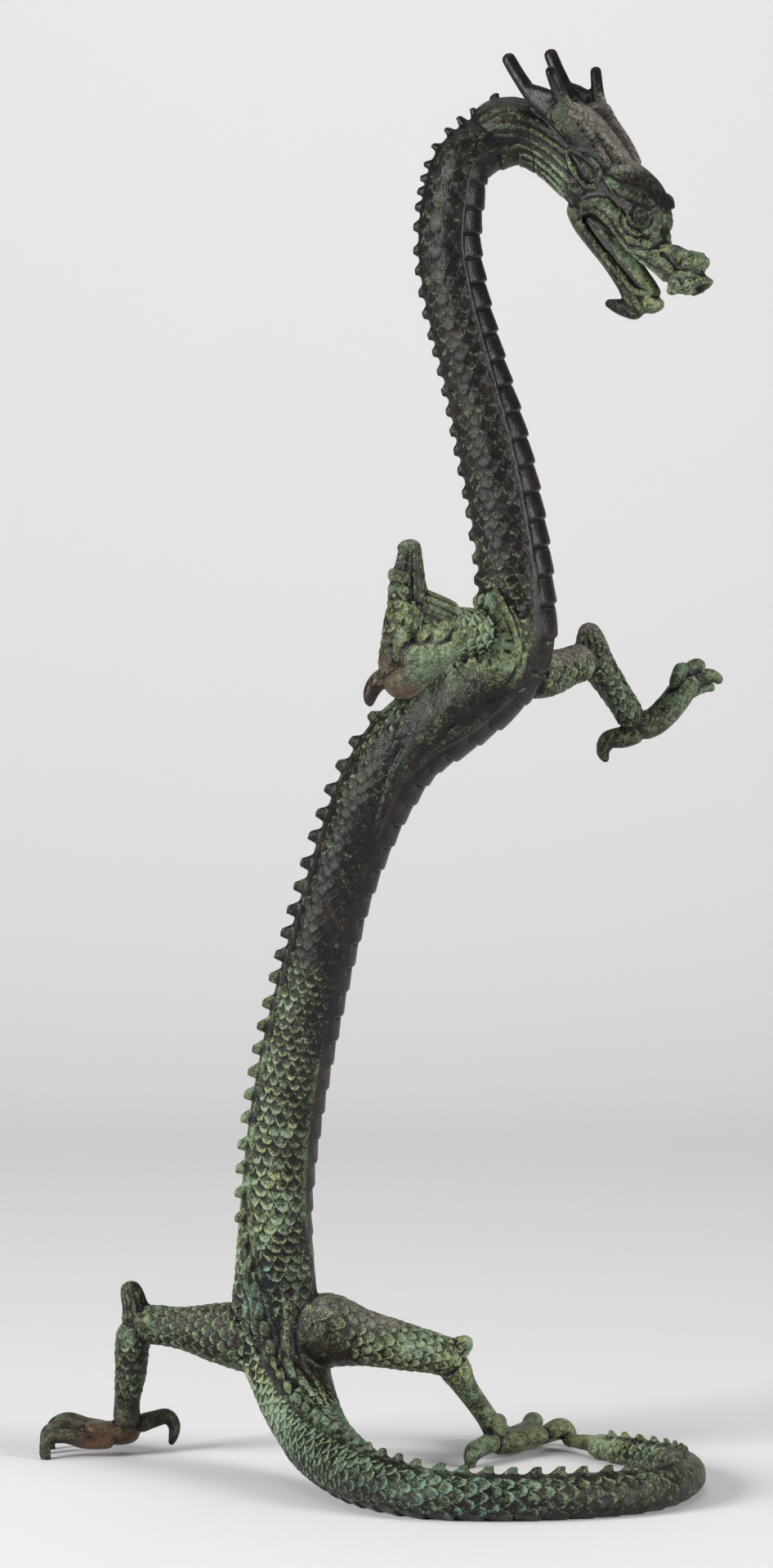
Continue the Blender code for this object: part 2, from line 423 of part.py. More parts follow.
def mane(wax):
    """Locks that sweep from behind the ears over the collar of the neck."""
    cowl = [(-2, 0, 0.6, 9.8, 9.4), (-12, 0, 3.4, 10, 9.8), (-24, -1.4, 5.6, 10.2, 9.6),
            (-35, -4.4, 5.6, 10.8, 9.8), (-44, -9.6, 2.6, 11.4, 10.4), (-50, -15.4, -2, 11.6, 10.8)]

    def locks(angle, along):
        wave = abs(math.cos(MANE_STRANDS * angle * 0.5 + along * 0.02))
        behind = smooth_step(6, 14, along) * (1 - smooth_step(38, 50, along))
        shoulder = 2.8 * behind * max(0.0, math.sin(2 * abs(angle))) ** 2
        return 1.3 * wave * (1 - smooth_step(40, 56, along + 5 * math.cos(3 * angle)) * 1.2) - 0.2 + shoulder

    roll(wax, cowl, sides=96, step=1.0, outline=locks)
    roll(wax, [(-49, -6, 9, 2.2, 2), (-53, -5, 11.4, 1.7, 1.6), (-52.4, -3.6, 13.6, 0.9, 0.9)])


def boxy(angle, along):
    """Squares off a round section."""
    return 1.5 * math.sin(2 * angle) ** 2


def horns(wax):
    """A forked horn over each brow; the left one stands a little higher."""
    for side in (1, -1):
        lift = FAR_HORN_LIFT if side > 0 else 0.0
        for rows in (HORN_ROOT, HORN_REAR, HORN_FRONT, HORN_WEB, CREST):
            raised = []
            for ahead, left, up, wide, deep in rows:
                raised.append((ahead, side * left, up + lift * max(0.0, -0.4 - ahead / 25), wide, deep))
            roll(wax, raised, step=1.0)


def head(wax):
    """Skull, jaws, brows, eyes, ears, horns and mane, modelled level and then turned."""
    forms = []
    roll(forms, SKULL, sides=24, step=1.0, outline=boxy)
    roll(forms, JAW, sides=16, step=1.0)
    for rows in (TONGUE, BEARD, CHIN, PALATE, NOSE, FOREHEAD):
        roll(forms, rows, step=1.0)
    for rows in (BROW, CHEEK, LIP_ROLL, JAW_RIM, NOSTRIL, EAR_UPPER, EAR_LOWER, EAR_BACK, KNOT):
        both_sides(forms, rows, step=1.0)
    horns(forms)
    eyes(forms)
    upper_lip(forms)
    mane(forms)
    turn = Matrix.Rotation(HEAD_YAW, 4, "Z") @ Matrix.Rotation(HEAD_PITCH, 4, "Y")
    for form in forms:
        form.transform(Matrix.Translation(Vector(HEAD_PLACE) * MM) @ turn)
    wax.extend(forms)


def bronze():
    material = bpy.data.materials.new("verdigris_bronze")
    material.use_nodes = True
    shader = material.node_tree.nodes["Principled BSDF"]
    shader.inputs["Base Color"].default_value = (0.10, 0.13, 0.09, 1)
    shader.inputs["Metallic"].default_value = 0.6
    shader.inputs["Roughness"].default_value = 0.6
    return material


def model():
    """Every form in one mesh, where they still run into each other."""
    wax = []
    for make in (body, muscles, tail_tuft, limbs, head):
        make(wax)
    bm = bmesh.new()
    for mesh in wax:
        bm.from_mesh(mesh)
        bpy.data.meshes.remove(mesh)
    skin = bpy.data.meshes.new("dragon")
    bm.to_mesh(skin)
    bm.free()
    return skin


def stand(mesh):
    """Cut the soles and the tail's underside off level, and bring the whole over the origin."""
    bm = bmesh.new()
    bm.from_mesh(mesh)
    everything = bm.verts[:] + bm.edges[:] + bm.faces[:]
    cut = bmesh.ops.bisect_plane(bm, geom=everything, dist=SNAP * MM, plane_co=(0, 0, SOLE * MM),
                                 plane_no=(0, 0, 1), clear_inner=True)
    rim = [part for part in cut["geom_cut"] if isinstance(part, bmesh.types.BMEdge)]
    bmesh.ops.holes_fill(bm, edges=rim)
    bmesh.ops.triangulate(bm, faces=bm.faces[:])
    bmesh.ops.recalc_face_normals(bm, faces=bm.faces[:])
    places = np.array([vert.co for vert in bm.verts])
    middle = (places.min(axis=0) + places.max(axis=0)) / 2
    bmesh.ops.translate(bm, verts=bm.verts[:], vec=(-middle[0], -middle[1], -SOLE * MM))
    for vert in bm.verts:
        if vert.co.z < SNAP * MM:
            vert.co.z = 0.0
    bm.to_mesh(mesh)
    bm.free()


def dragon():
    casting = bpy.data.objects.new("dragon", model())
    bpy.context.scene.collection.objects.link(casting)
    remesh = casting.modifiers.new("one_skin", "REMESH")
    remesh.mode = "VOXEL"
    remesh.voxel_size = WAX_GRAIN * MM
    smooth = casting.modifiers.new("fillets", "SMOOTH")
    smooth.factor = 0.5
    smooth.iterations = 2
    facets = casting.modifiers.new("facets", "DECIMATE")
    facets.decimate_type = "COLLAPSE"
    facets.ratio = FACET_SHARE
    graph = bpy.context.evaluated_depsgraph_get()
    cast = bpy.data.meshes.new_from_object(casting.evaluated_get(graph))
    casting.modifiers.clear()
    casting.data = cast
    stand(cast)
    cast.materials.clear()
    cast.materials.append(bronze())


for old in list(bpy.data.objects):
    bpy.data.objects.remove(old)
dragon()
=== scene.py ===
"""The bronze dragon as it stands: the casting with its scales, locks and patina, on a pale floor."""
import math

import bmesh
import bpy
import numpy as np
from mathutils import Matrix, Vector


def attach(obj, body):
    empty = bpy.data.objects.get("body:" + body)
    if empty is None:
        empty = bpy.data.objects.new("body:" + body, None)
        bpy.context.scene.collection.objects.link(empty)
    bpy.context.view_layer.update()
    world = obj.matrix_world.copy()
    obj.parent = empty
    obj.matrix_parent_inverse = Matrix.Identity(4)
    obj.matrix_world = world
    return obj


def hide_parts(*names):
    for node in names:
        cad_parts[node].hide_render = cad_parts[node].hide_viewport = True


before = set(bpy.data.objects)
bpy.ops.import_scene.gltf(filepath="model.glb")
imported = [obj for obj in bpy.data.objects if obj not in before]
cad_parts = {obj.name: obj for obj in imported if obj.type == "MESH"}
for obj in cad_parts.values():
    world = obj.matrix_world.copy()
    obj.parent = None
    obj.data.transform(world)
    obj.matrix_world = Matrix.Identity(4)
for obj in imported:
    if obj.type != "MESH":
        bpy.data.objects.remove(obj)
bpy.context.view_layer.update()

# The body, one long roll of wax from inside the head to the tail's tuft, cast in bronze. Down
# its back runs a flat band, and under it the belly's plates lap one over the next. Each row is
# a place in millimetres, half the width and depth there, and which way its back faces.
MM = 0.001
PLATE_PITCH = 9.5
PLATE_STEP = 1.0
BACK_BAND = 0.7
BAND_SIDE = (0.2, 0.34)
BELLY_LEDGE = 0.5
LEDGE_WIDTH = 0.06
BELLY_EDGE = math.radians(107)
BELLY_PLATES = math.radians(130)
NECK_PLATES = math.radians(117)
NECK_FOOT = (185, 230)
BODY = [
    (70, -7, 466, 8.0, 7.5, 0.5, -0.2, 0.9),
    (60, -2, 475, 9.0, 8.8, 0.3, 0, 1),
    (48, 1, 478.8, 9.8, 8.8, 0, 0, 1),
    (36.6, 1, 477.6, 10.6, 9.8, -0.35, 0, 1),
    (27.9, 0, 471.9, 11, 9.9, -0.9, 0, 0.5),
    (24.4, 0, 459.9, 11, 10.6, -1, 0, 0.1),
    (22.8, 0, 442, 10.6, 10.9, -1, 0, 0),
    (25.1, 0, 425, 10.8, 11.1, -1, -0.05, 0),
    (30.8, 0, 402, 11.0, 11.2, -1, -0.08, 0),
    (38.1, 0, 373, 12.0, 12.4, -1, -0.1, 0),
    (43.7, 0, 345, 12.4, 12.8, -1, -0.1, 0),
    (46.4, 0, 322, 13.0, 13.2, -1, -0.1, 0),
    (45.4, 1, 304.6, 14.6, 14.8, -1, -0.05, 0.3),
    (39.0, 2, 290.8, 15.0, 15.2, -0.8, 0, 0.7),
    (24.0, 5, 278.0, 15.2, 15.6, -0.7, -0.05, 0.7),
    (7.6, 8, 265.2, 14.6, 14.8, -0.8, -0.08, 0.6),
    (-3.5, 11, 248, 13.4, 14.0, -0.9, -0.12, 0.4),
    (-11.0, 14, 230, 12.0, 12.8, -1, -0.16, 0.3),
    (-16.5, 16, 214, 11.6, 12.2, -1, -0.2, 0.2),
    (-24.0, 21, 187, 12.0, 12.5, -1, -0.26, 0.1),
    (-31.0, 26, 157, 12.6, 13.0, -1, -0.3, 0.1),
    (-36.4, 31, 127, 12.8, 13.0, -1, -0.34, 0),
    (-39.6, 36, 99, 13.4, 13.0, -1, -0.6, 0),
    (-40.4, 41, 75, 14.8, 13.4, -0.6, -0.9, 0),
    (-39.6, 43, 52, 15.6, 14.0, -0.3, -1, 0.1),
    (-34.6, 37, 34, 14.4, 13.4, -0.34, -0.9, 0.4),
    (-27.0, 18, 19.5, 12.6, 12.4, -0.3, -0.5, 0.8),
    (-15.6, -13, 11.8, 11.4, 11.2, -0.1, -0.15, 1),
    (-1.0, -43, 9.4, 9.6, 9.5, 0, 0, 1),
    (14.0, -57, 8.4, 8.8, 8.5, 0, 0, 1),
    (36.0, -61.5, 7.9, 8.2, 7.9, 0, 0, 1),
    (64.0, -57.5, 7.6, 8.0, 7.7, 0, 0, 1),
    (89.0, -45, 7.3, 7.6, 7.4, 0, 0, 1),
    (103.2, -20, 6.9, 7.2, 7.0, 0, 0, 1),
    (106.4, 8, 6.2, 6.6, 6.3, 0, 0, 1),
    (98.0, 36, 5.4, 5.6, 5.5, 0, 0, 1),
    (86.0, 53, 5.0, 5.0, 5.0, 0, 0, 1),
    (76.0, 69, 4.3, 4.4, 4.2, 0, 0, 1),
]


def smooth_rows(rows, step):
    """Rows read at even steps along the smooth curve through them, and the length at each."""
    rows = np.array(rows, dtype=float)
    gaps = np.linalg.norm(np.diff(rows[:, :3], axis=0), axis=1)
    knots = np.concatenate([[0.0], np.cumsum(gaps)])
    slopes = np.gradient(rows, knots, axis=0)
    fine = np.linspace(0.0, knots[-1], int(8 * knots[-1] / step) + 9)
    at = np.clip(np.searchsorted(knots, fine, side="right") - 1, 0, len(knots) - 2)
    gap = (knots[at + 1] - knots[at])[:, None]
    u = (fine - knots[at])[:, None] / gap
    curve = ((2 * u**3 - 3 * u**2 + 1) * rows[at] + (u**3 - 2 * u**2 + u) * gap * slopes[at]
             + (3 * u**2 - 2 * u**3) * rows[at + 1] + (u**3 - u**2) * gap * slopes[at + 1])
    run = np.concatenate([[0.0], np.cumsum(np.linalg.norm(np.diff(curve[:, :3], axis=0), axis=1))])
    count = max(3, int(round(run[-1] / step)))
    even = np.linspace(0.0, run[-1], count + 1)
    return np.column_stack([np.interp(even, run, column) for column in curve.T]), even


def frames(path):
    """The forward, side and back directions along a path whose last columns hint at the back."""
    ahead = np.gradient(path[:, :3], axis=0)
    ahead /= np.linalg.norm(ahead, axis=1)[:, None]
    back = path[:, 5:8] - (path[:, 5:8] * ahead).sum(axis=1)[:, None] * ahead
    back /= np.linalg.norm(back, axis=1)[:, None]
    return ahead, np.cross(ahead, back), back


def lay(wax, bm):
    """Put one finished shape with the others."""
    mesh = bpy.data.meshes.new("wax")
    bm.to_mesh(mesh)
    bm.free()
    wax.append(mesh)


def roll(wax, rows, back=(0, 0, 1), sides=12, step=1.5, outline=None):
    """One roll of wax: a ball drawn out along its rows, with round ends.

    outline gives how far the skin stands out at an angle from the back and a length along.
    """
    rows = [tuple(row) + (tuple(back) if len(row) == 5 else ()) for row in rows]
    path, length = smooth_rows(rows, step)
    ahead, side, up = frames(path)
    count = len(path) - 1
    reach = np.minimum(length, length[-1] - length)
    end = np.clip(reach / np.maximum(path[:, 3:5].min(axis=1), 0.1), 0.0, 1.0)
    rounding = np.sqrt(1.0 - (1.0 - end) ** 2)
    bm = bmesh.new()
    bmesh.ops.create_uvsphere(bm, u_segments=sides, v_segments=count, radius=1.0)
    for vert in bm.verts:
        ring = int(round(math.acos(max(-1.0, min(1.0, vert.co.z))) / math.pi * count))
        angle = math.atan2(vert.co.x, vert.co.y)
        proud = outline(angle, length[ring]) if outline else 0.0
        across = rounding[ring] * (path[ring, 3] + proud) * math.sin(angle)
        deep = rounding[ring] * (path[ring, 4] + proud) * math.cos(angle)
        vert.co = (path[ring, :3] + across * side[ring] + deep * up[ring]) * MM
    lay(wax, bm)


def smooth_step(low, high, value):
    """0 below low, 1 above high, and smooth between, for one number or for many."""
    part = (value - low) / (high - low)
    part = np.clip(part, 0.0, 1.0) if isinstance(part, np.ndarray) else max(0.0, min(1.0, part))
    return part * part * (3 - 2 * part)


def plates_from(along):
    """The angle from which the belly is plated: nearer the ledge on the neck than below it."""
    return NECK_PLATES + (BELLY_PLATES - NECK_PLATES) * smooth_step(*NECK_FOOT, along)


def body_outline(angle, along):
    """A raised band down the back, a ledge beside the belly, and the belly's lapping plates."""
    turn = abs(angle)
    band = BACK_BAND * (1 - smooth_step(*BAND_SIDE, turn))
    ledge = BELLY_LEDGE * math.exp(-((turn - BELLY_EDGE) / LEDGE_WIDTH) ** 2)
    first = plates_from(along)
    belly = smooth_step(first - 0.07, first + 0.07, turn)
    part = (along / PLATE_PITCH) % 1.0
    plate = PLATE_STEP * (part - 0.6) * (1 - smooth_step(0.86, 1.0, part))
    return band + ledge + belly * plate


wax = []
roll(wax, BODY, sides=40, step=1.0, outline=body_outline)

# The crest: flat lobes that stand in a row on the back's band and lean towards the tail, each
# pressed on in wax and cast with the body. They crowd together over the nape.
SPIKE_PITCH = 8.6
SPIKE_LENGTH = 8.2
SPIKE_WIDTH = 4.0
SPIKE_FIRST = 31.0
SPIKE_SINK = 1.6
SPIKE_LEAN = 0.16
SPIKE_BLUNT = 0.4
NAPE_CROWDING = 0.56
NAPE_LIFT = 1.8


def spike(bm, place, ahead, up, height, length, width, lean):
    """One lobe of the crest: a flat cone that leans towards the tail."""
    lean = lean * length / height
    axes = Matrix((ahead, ahead.cross(up), up)).transposed().to_4x4()
    shear = Matrix(((1, 0, lean, 0), (0, 1, 0, 0), (0, 0, 1, 0), (0, 0, 0, 1)))
    shape = Matrix.Diagonal((length / 2, width / 2, height, 1))
    where = Matrix.Scale(MM, 4) @ Matrix.Translation(place) @ axes @ shear @ shape
    bmesh.ops.create_cone(bm, cap_ends=True, segments=8, radius1=1.0, radius2=SPIKE_BLUNT, depth=1.0,
                          matrix=where @ Matrix.Translation((0, 0, 0.5)))


def spike_height(along, whole):
    """The crest is low on the neck, tall down the trunk, and dies away at the tail's tuft."""
    neck = smooth_step(0.0, 40.0, along) + 0.35 * (1 - smooth_step(55.0, 80.0, along))
    trunk = smooth_step(230.0, 330.0, along)
    tail = 0.25 * smooth_step(whole * 0.55, whole * 0.7, along)
    tail += 0.3 * smooth_step(whole * 0.75, whole, along)
    return (1.6 * neck + 0.3 + 1.9 * trunk) * (1 - tail)


def crest(wax):
    """Every lobe from the nape to the tail's tuft."""
    path, length = smooth_rows(BODY, 1.2)
    ahead, side, up = frames(path)
    whole = length[-1]
    bm = bmesh.new()
    along = SPIKE_FIRST
    while along < whole - 1.5 * SPIKE_PITCH:
        ring = int(np.searchsorted(length, along))
        lift = NAPE_LIFT * (1 - smooth_step(36, 50, along))
        place = path[ring, :3] + (path[ring, 4] + BACK_BAND - SPIKE_SINK + lift) * up[ring]
        size = 0.75 + 0.25 * min(1.0, path[ring, 4] / 9.0)
        crowded = NAPE_CROWDING * (1 - 0.64 * smooth_step(52, 75, along))
        crowded = crowded * (1 - smooth_step(110, 200, along))
        height = spike_height(along, whole) + SPIKE_SINK
        lean = SPIKE_LEAN * (1 + smooth_step(whole * 0.55, whole * 0.7, along))
        spike(bm, Vector(place), Vector(ahead[ring]), Vector(up[ring]), height,
              SPIKE_LENGTH * size * (1 - 0.7 * crowded), SPIKE_WIDTH * size, lean)
        along += SPIKE_PITCH * (1 - crowded)
    lay(wax, bm)


crest(wax)

# Shoulders and hips: smooth pads where the limbs leave the body, with flame locks behind them,
# modelled on the body's skin before casting.
SHOULDER = [(202, -40, 3, 1.5), (209, -50, 6.5, 3), (219, -62, 9.5, 4), (232, -68, 10, 4),
            (246, -72, 8.4, 3.2), (262, -78, 5, 2.2), (276, -80, 2, 1.4)]
SHOULDER_LOCKS = [
    [(204, -16, 2.4, 1.2), (214, -26, 6.4, 2.6), (230, -34, 8, 3.2), (246, -40, 7, 2.8),
     (262, -52, 4.6, 2.2), (276, -66, 1.6, 1.4)],
    [(212, -90, 3, 1), (232, -107, 4, 2.4), (250, -112, 3.4, 2.2), (268, -108, 2.4, 1.8),
     (288, -100, 1.2, 1.2)],
    [(238, -74, 3, 1), (258, -84, 3.8, 2.4), (276, -92, 3, 2.2), (294, -100, 2.2, 1.6),
     (312, -106, 1, 1)],
    [(236, -46, 3, 1), (252, -54, 3.6, 2.2), (266, -62, 2.6, 1.8), (282, -70, 1, 1)],
]
HIP_LOCKS = [
    [(485, -42, 1.4, 1.2), (494, -37, 1.9, 1.7), (503, -30, 2, 1.8), (514, -20, 1.7, 1.5)],
    [(513, -20, 1.4, 1.3), (523, -19, 2.5, 1.9), (533, -22, 2.1, 1.6), (543, -26, 0.9, 0.9)],
    [(482, 44, 1.4, 1.2), (496, 50, 2.3, 1.8), (509, 54, 2.1, 1.6), (522, 58, 0.9, 0.9)],
]


def laid_on_body(rows):
    """Rows given by length and angle on the body's skin, as places to lay a roll at."""
    path, length = smooth_rows(BODY, 1.2)
    side, up = frames(path)[1:]
    laid = []
    for along, degrees, wide, deep in rows:
        ring = int(np.searchsorted(length, along))
        angle = math.radians(degrees)
        out = math.sin(angle) * side[ring] + math.cos(angle) * up[ring]
        skin = path[ring, :3] + (math.sin(angle) * path[ring, 3] * side[ring]
                                 + math.cos(angle) * path[ring, 4] * up[ring])
        laid.append(tuple(skin) + (wide, deep) + tuple(out))
    return laid


def muscles(wax):
    """Shoulder pads with their flame locks, alike on both sides, and the locks at the hips."""
    for rows in [SHOULDER] + SHOULDER_LOCKS:
        other = [(along, -degrees, wide, deep) for along, degrees, wide, deep in rows]
        roll(wax, laid_on_body(rows))
        roll(wax, laid_on_body(other))
    for rows in HIP_LOCKS:
        roll(wax, laid_on_body(rows))


muscles(wax)

# Arms and legs: rolls that taper to the wrists and ankles, with fluted tufts of hair that
# stand up at the elbows and hocks. Their scales are counted from LIMB_BACK round.
LIMB_BACK = (0, -1, 0.2)
LEFT_THIGH = [(-36, 43, 48, 13, 13), (-50, 46, 48.5, 13, 13), (-61, 50, 49.2, 11, 11),
              (-77, 57, 50.2, 7.4, 7.4), (-87, 61, 50.4, 7.2, 7.2), (-92, 63, 48.5, 7, 7)]
LEFT_SHIN = [(-91, 62.5, 52, 6.6, 6.6), (-93, 64, 44.8, 6.4, 6.4), (-94.1, 67, 32, 5.7, 5.7),
             (-95.6, 71, 20.8, 4.8, 4.8), (-96, 74, 10.5, 5.4, 5.4)]
RIGHT_THIGH = [(-33, 42, 48, 14, 14), (-22, 38, 51.6, 14, 14), (-9.8, 38, 49.5, 10.6, 10.6),
               (8, 42, 45, 8.4, 8.4), (20, 46, 41.5, 7.2, 7.2), (27, 48.5, 38, 6.6, 6.6)]
RIGHT_SHIN = [(21.4, 47, 42, 6, 6.4), (25.6, 50, 35, 5.6, 6.4), (28.8, 52.5, 29, 4.4, 4.8),
              (32.8, 55, 23, 4.0, 4.0), (37.6, 58.5, 15.5, 4.0, 4.2), (41.4, 62, 8.5, 4.8, 4.8)]
RIGHT_ARM = [(44, 4, 303, 8, 8), (34, -7, 305, 9, 9), (27.6, -14, 306.5, 8.4, 8.4),
             (20.6, -25, 308.5, 7.4, 7.4), (14, -35, 312, 7.2, 7.2), (7, -43, 315.5, 6.8, 6.8)]
RIGHT_FOREARM = [(8, -42.5, 318.5, 6.4, 6.4), (6, -45, 312, 6.6, 6.6), (4, -47, 304, 5.8, 5.8),
                 (2.4, -49, 297, 5.2, 5.2), (2, -50.5, 291, 5, 5)]
LEFT_ARM = [(48, 8, 291, 9.5, 9.5), (57.5, 18, 290.8, 8.2, 8.2), (66.5, 28, 293.4, 6.8, 6.8),
            (73, 34, 295.6, 7.4, 7.4)]
LEFT_FOREARM = [(72.5, 34.5, 299, 6.6, 7), (77, 37, 292, 6, 6.2), (82.8, 40, 283.3, 5.3, 5.5),
                (87.4, 43, 276, 5.1, 5.1), (89.5, 45.5, 270.5, 4.8, 4.8)]

TUFTS = [
    [(-91, 63, 50, 6.6, 4.5), (-92.2, 63, 57, 4.4, 3.2), (-93.8, 63, 63, 3.6, 2.6),
     (-95, 63, 66.6, 2.0, 1.6)],
    [(20, 46, 38.5, 6.2, 4.2), (25.5, 46.5, 43.5, 4.2, 3), (31.3, 46.5, 47.6, 1.8, 1.6)],
    [(7.4, -42, 313, 7, 6.4), (7.4, -41, 322, 6.2, 5), (7.7, -40.4, 328, 5, 4),
     (8.2, -40, 334, 3.8, 3), (8.6, -40, 339.4, 2.4, 2)],
    [(5, -43, 318, 6, 6), (14, -37, 313.8, 7, 6), (24, -27, 308.8, 7, 6.6)],
    [(7.4, -40, 337.4, 2.2, 2), (4, -40, 334.4, 1.2, 1.2)],
    [(74.4, 35, 294, 7.2, 5.4), (73.6, 35, 301, 5.4, 4.2), (72.9, 35, 306.4, 3.4, 2.8),
     (72.8, 35, 309, 1.8, 1.6)],
]

# Pads across the back of the right forearm, below the elbow's tuft
ARM_PADS = [(327, 2.4), (322, 2.6), (317, 2.8), (312, 2.6)]


def flutes(count, depth):
    """An outline of hair combed along a roll."""
    return lambda angle, along: depth * abs(math.cos(count * angle / 2 + 0.15 * math.sin(along * 0.6)))


for rows in (LEFT_THIGH, LEFT_SHIN, RIGHT_THIGH, RIGHT_SHIN, RIGHT_ARM, RIGHT_FOREARM,
             LEFT_ARM, LEFT_FOREARM):
    roll(wax, rows, back=LIMB_BACK, sides=24)
for rows in TUFTS:
    roll(wax, rows, back=(0, -1, 0), sides=64, step=1.0, outline=flutes(17, 0.55))
for height, size in ARM_PADS:
    roll(wax, [(1.6, -42, height, 1.6, size), (3.4, -47, height - 0.6, 2.2, size),
               (8, -48.6, height - 1.4, 1.6, size * 0.8)], sides=12, step=0.8)

# Hands and feet: palms and soles with long toes that end in hooked claws. The claws and the
# tail's underside bear on the ground.
PAWS = [
    [(-91, 75, 10, 5, 4.2), (-98, 74, 8.6, 7, 4.6), (-106, 74, 9.2, 7.6, 4), (-112, 74, 10.5, 7, 3)],
    [(-100, 69, 6.6, 3.4, 3.2), (-111, 66.5, 6.8, 3.2, 3), (-119, 65, 8.8, 2.8, 2.7),
     (-124, 64.4, 8, 2.6, 2.6), (-125.6, 63.8, 4, 2.2, 2.3), (-124.4, 63, -1.2, 1.5, 1.7)],
    [(-102, 74, 8.4, 3.4, 3), (-113, 74.5, 9.4, 3, 2.8), (-121, 75, 10.8, 2.7, 2.6),
     (-125.4, 75.4, 8.6, 2.2, 2.3), (-126.4, 75.6, 4.4, 1.8, 1.9), (-125.4, 75.6, -0.6, 1, 1)],
    [(-101, 78, 9, 3.2, 3), (-111, 82, 10.4, 2.8, 2.7), (-119.4, 84.4, 12, 2.7, 2.5),
     (-123.6, 85.4, 9.6, 2.3, 2.3), (-124.8, 86, 4.6, 1.8, 1.9), (-124.2, 86, -1.2, 1.4, 1.4)],
    [(-93, 75, 11, 3.8, 3.8), (-86, 78, 13, 3.2, 3.2), (-81, 80, 13.6, 2.9, 2.9),
     (-78.6, 81, 10, 2.4, 2.4), (-79, 81, 6, 2, 1.8), (-80.2, 81, 2.6, 1, 1)],
    [(39, 59, 7.4, 5, 4.6), (45, 67, 6.4, 6.4, 4.6), (52, 75, 7, 7, 4), (57, 81, 7.6, 6, 3.4)],
    [(40, 60, 8, 4.2, 4), (34.6, 52, 6.8, 3.5, 3.5), (31.4, 46.8, 5.4, 3.4, 3.4),
     (30.4, 45.6, 2.6, 2.4, 2.6), (30.8, 46, -1.2, 1.6, 1.6)],
    [(50, 73, 6, 3.6, 3.4), (58.4, 81, 6.6, 3.4, 3.4), (65.6, 87.6, 7.8, 3.9, 3.9),
     (68.6, 91, 5, 2.4, 2.5), (69, 92, -0.8, 1.2, 1.2)],
    [(47, 73, 8, 3.6, 3.2), (52, 83, 8.6, 3.1, 3.1), (55, 95, 9.4, 3.5, 3.4),
     (56, 101, 6, 2.2, 2.4), (56, 102.4, -1.2, 1.4, 1.4)],
    [(44, 70, 8.4, 3.4, 3), (42, 82, 9, 3, 3), (41.4, 92, 9.6, 3.3, 3.3),
     (41.6, 98, 6, 2.2, 2.4), (42, 99.4, -0.8, 1, 1)],
    [(0.4, -50, 292.4, 5.2, 5.2), (5, -52.5, 289.8, 6, 5.8), (12, -57, 295, 6.6, 5.6),
     (20, -60, 301.2, 6.4, 4.8), (27, -60.5, 305.4, 5, 3.4)],
    [(5, -54.6, 296.6, 4.6, 4.6), (14, -59, 300.4, 6, 5.4), (22, -61, 304, 5, 4.4)],
    [(1, -49.5, 291.4, 3.8, 3.8), (-2.6, -48.4, 290.2, 3.4, 3.4), (-5, -48, 287, 2.9, 2.9),
     (-5.8, -48, 283.6, 2.2, 2.2), (-5.4, -48, 281, 0.9, 0.9)],
    [(4, -54, 297, 4, 3.4), (6, -56.6, 302, 4.2, 3.2), (6.8, -57.4, 306.4, 3.8, 3),
     (6.8, -57, 309.6, 2.2, 1.8)],
    [(10, -57, 297, 4, 3), (13, -60, 302, 3.4, 3), (14, -62, 307, 2.8, 2.6),
     (16.4, -62, 310, 1.8, 1.6)],
    [(16, -60, 300, 3.6, 3), (18.4, -63, 305, 3.2, 2.8), (20, -64, 309, 2.8, 2.5),
     (22, -63, 310.6, 1.6, 1.4)],
    [(22, -61, 303, 3.6, 3), (25, -63.4, 306, 3, 2.8), (27.4, -63.4, 307.4, 2.5, 2.3),
     (29.4, -61, 306.6, 1.4, 1.3)],
    [(88.6, 45.4, 270.2, 5, 5), (96, 47, 272, 5.8, 5.2), (102.8, 48.4, 278, 6.4, 5.2),
     (108.2, 50, 285, 7, 4.8), (112, 50.8, 289, 6, 4)],
    [(93, 45.8, 270, 4.8, 4.4), (86, 46, 267, 4, 4), (80, 46, 265.6, 3.3, 3.3),
     (78.4, 46, 261.8, 2.6, 2.6), (80, 46, 257.6, 1, 1)],
    [(104.6, 46.6, 284, 3, 3), (105.6, 45.8, 289, 2.7, 2.7), (107, 45.4, 291.8, 2.6, 2.6),
     (109.4, 45.2, 290.4, 1.4, 1.4)],
    [(107, 49, 286, 3, 3), (110, 49.6, 291.4, 2.8, 2.7), (113, 50, 293, 2.5, 2.5),
     (115.4, 50, 291, 1.6, 1.6)],
    [(109, 52, 285, 3.2, 3), (114, 53.6, 288.6, 2.8, 2.8), (118, 54, 289, 2.5, 2.5),
     (122.2, 54, 286.4, 1.7, 1.6)],
    [(108, 55, 282, 3, 3), (113.4, 57, 284.4, 2.6, 2.6), (117, 58, 285, 2.3, 2.2),
     (119.6, 58, 283.4, 1.3, 1.2)],
]
for rows in PAWS:
    roll(wax, rows, back=(0.1, 0.1, 1), step=0.8, sides=16)

# The tail's tuft: four locks of hair that lie side by side past the last scales, to a point,
# combed in the wax like the tufts of the limbs.
for number, spread in enumerate((-2.2, -0.8, 0.8, 2.2)):
    lift = 1.2 if number in (1, 2) else 0.0
    roll(wax, [(90, 50 + spread, 5.6 + lift, 2, 2.4), (80, 62 + spread, 5.2 + lift, 2, 2.4),
               (73, 74 + 0.8 * spread, 4.6 + 0.8 * lift, 1.8, 2),
               (66, 84.6 + 0.4 * spread, 4.2, 1.4, 1.6)], sides=32, step=0.8, outline=flutes(9, 0.35))

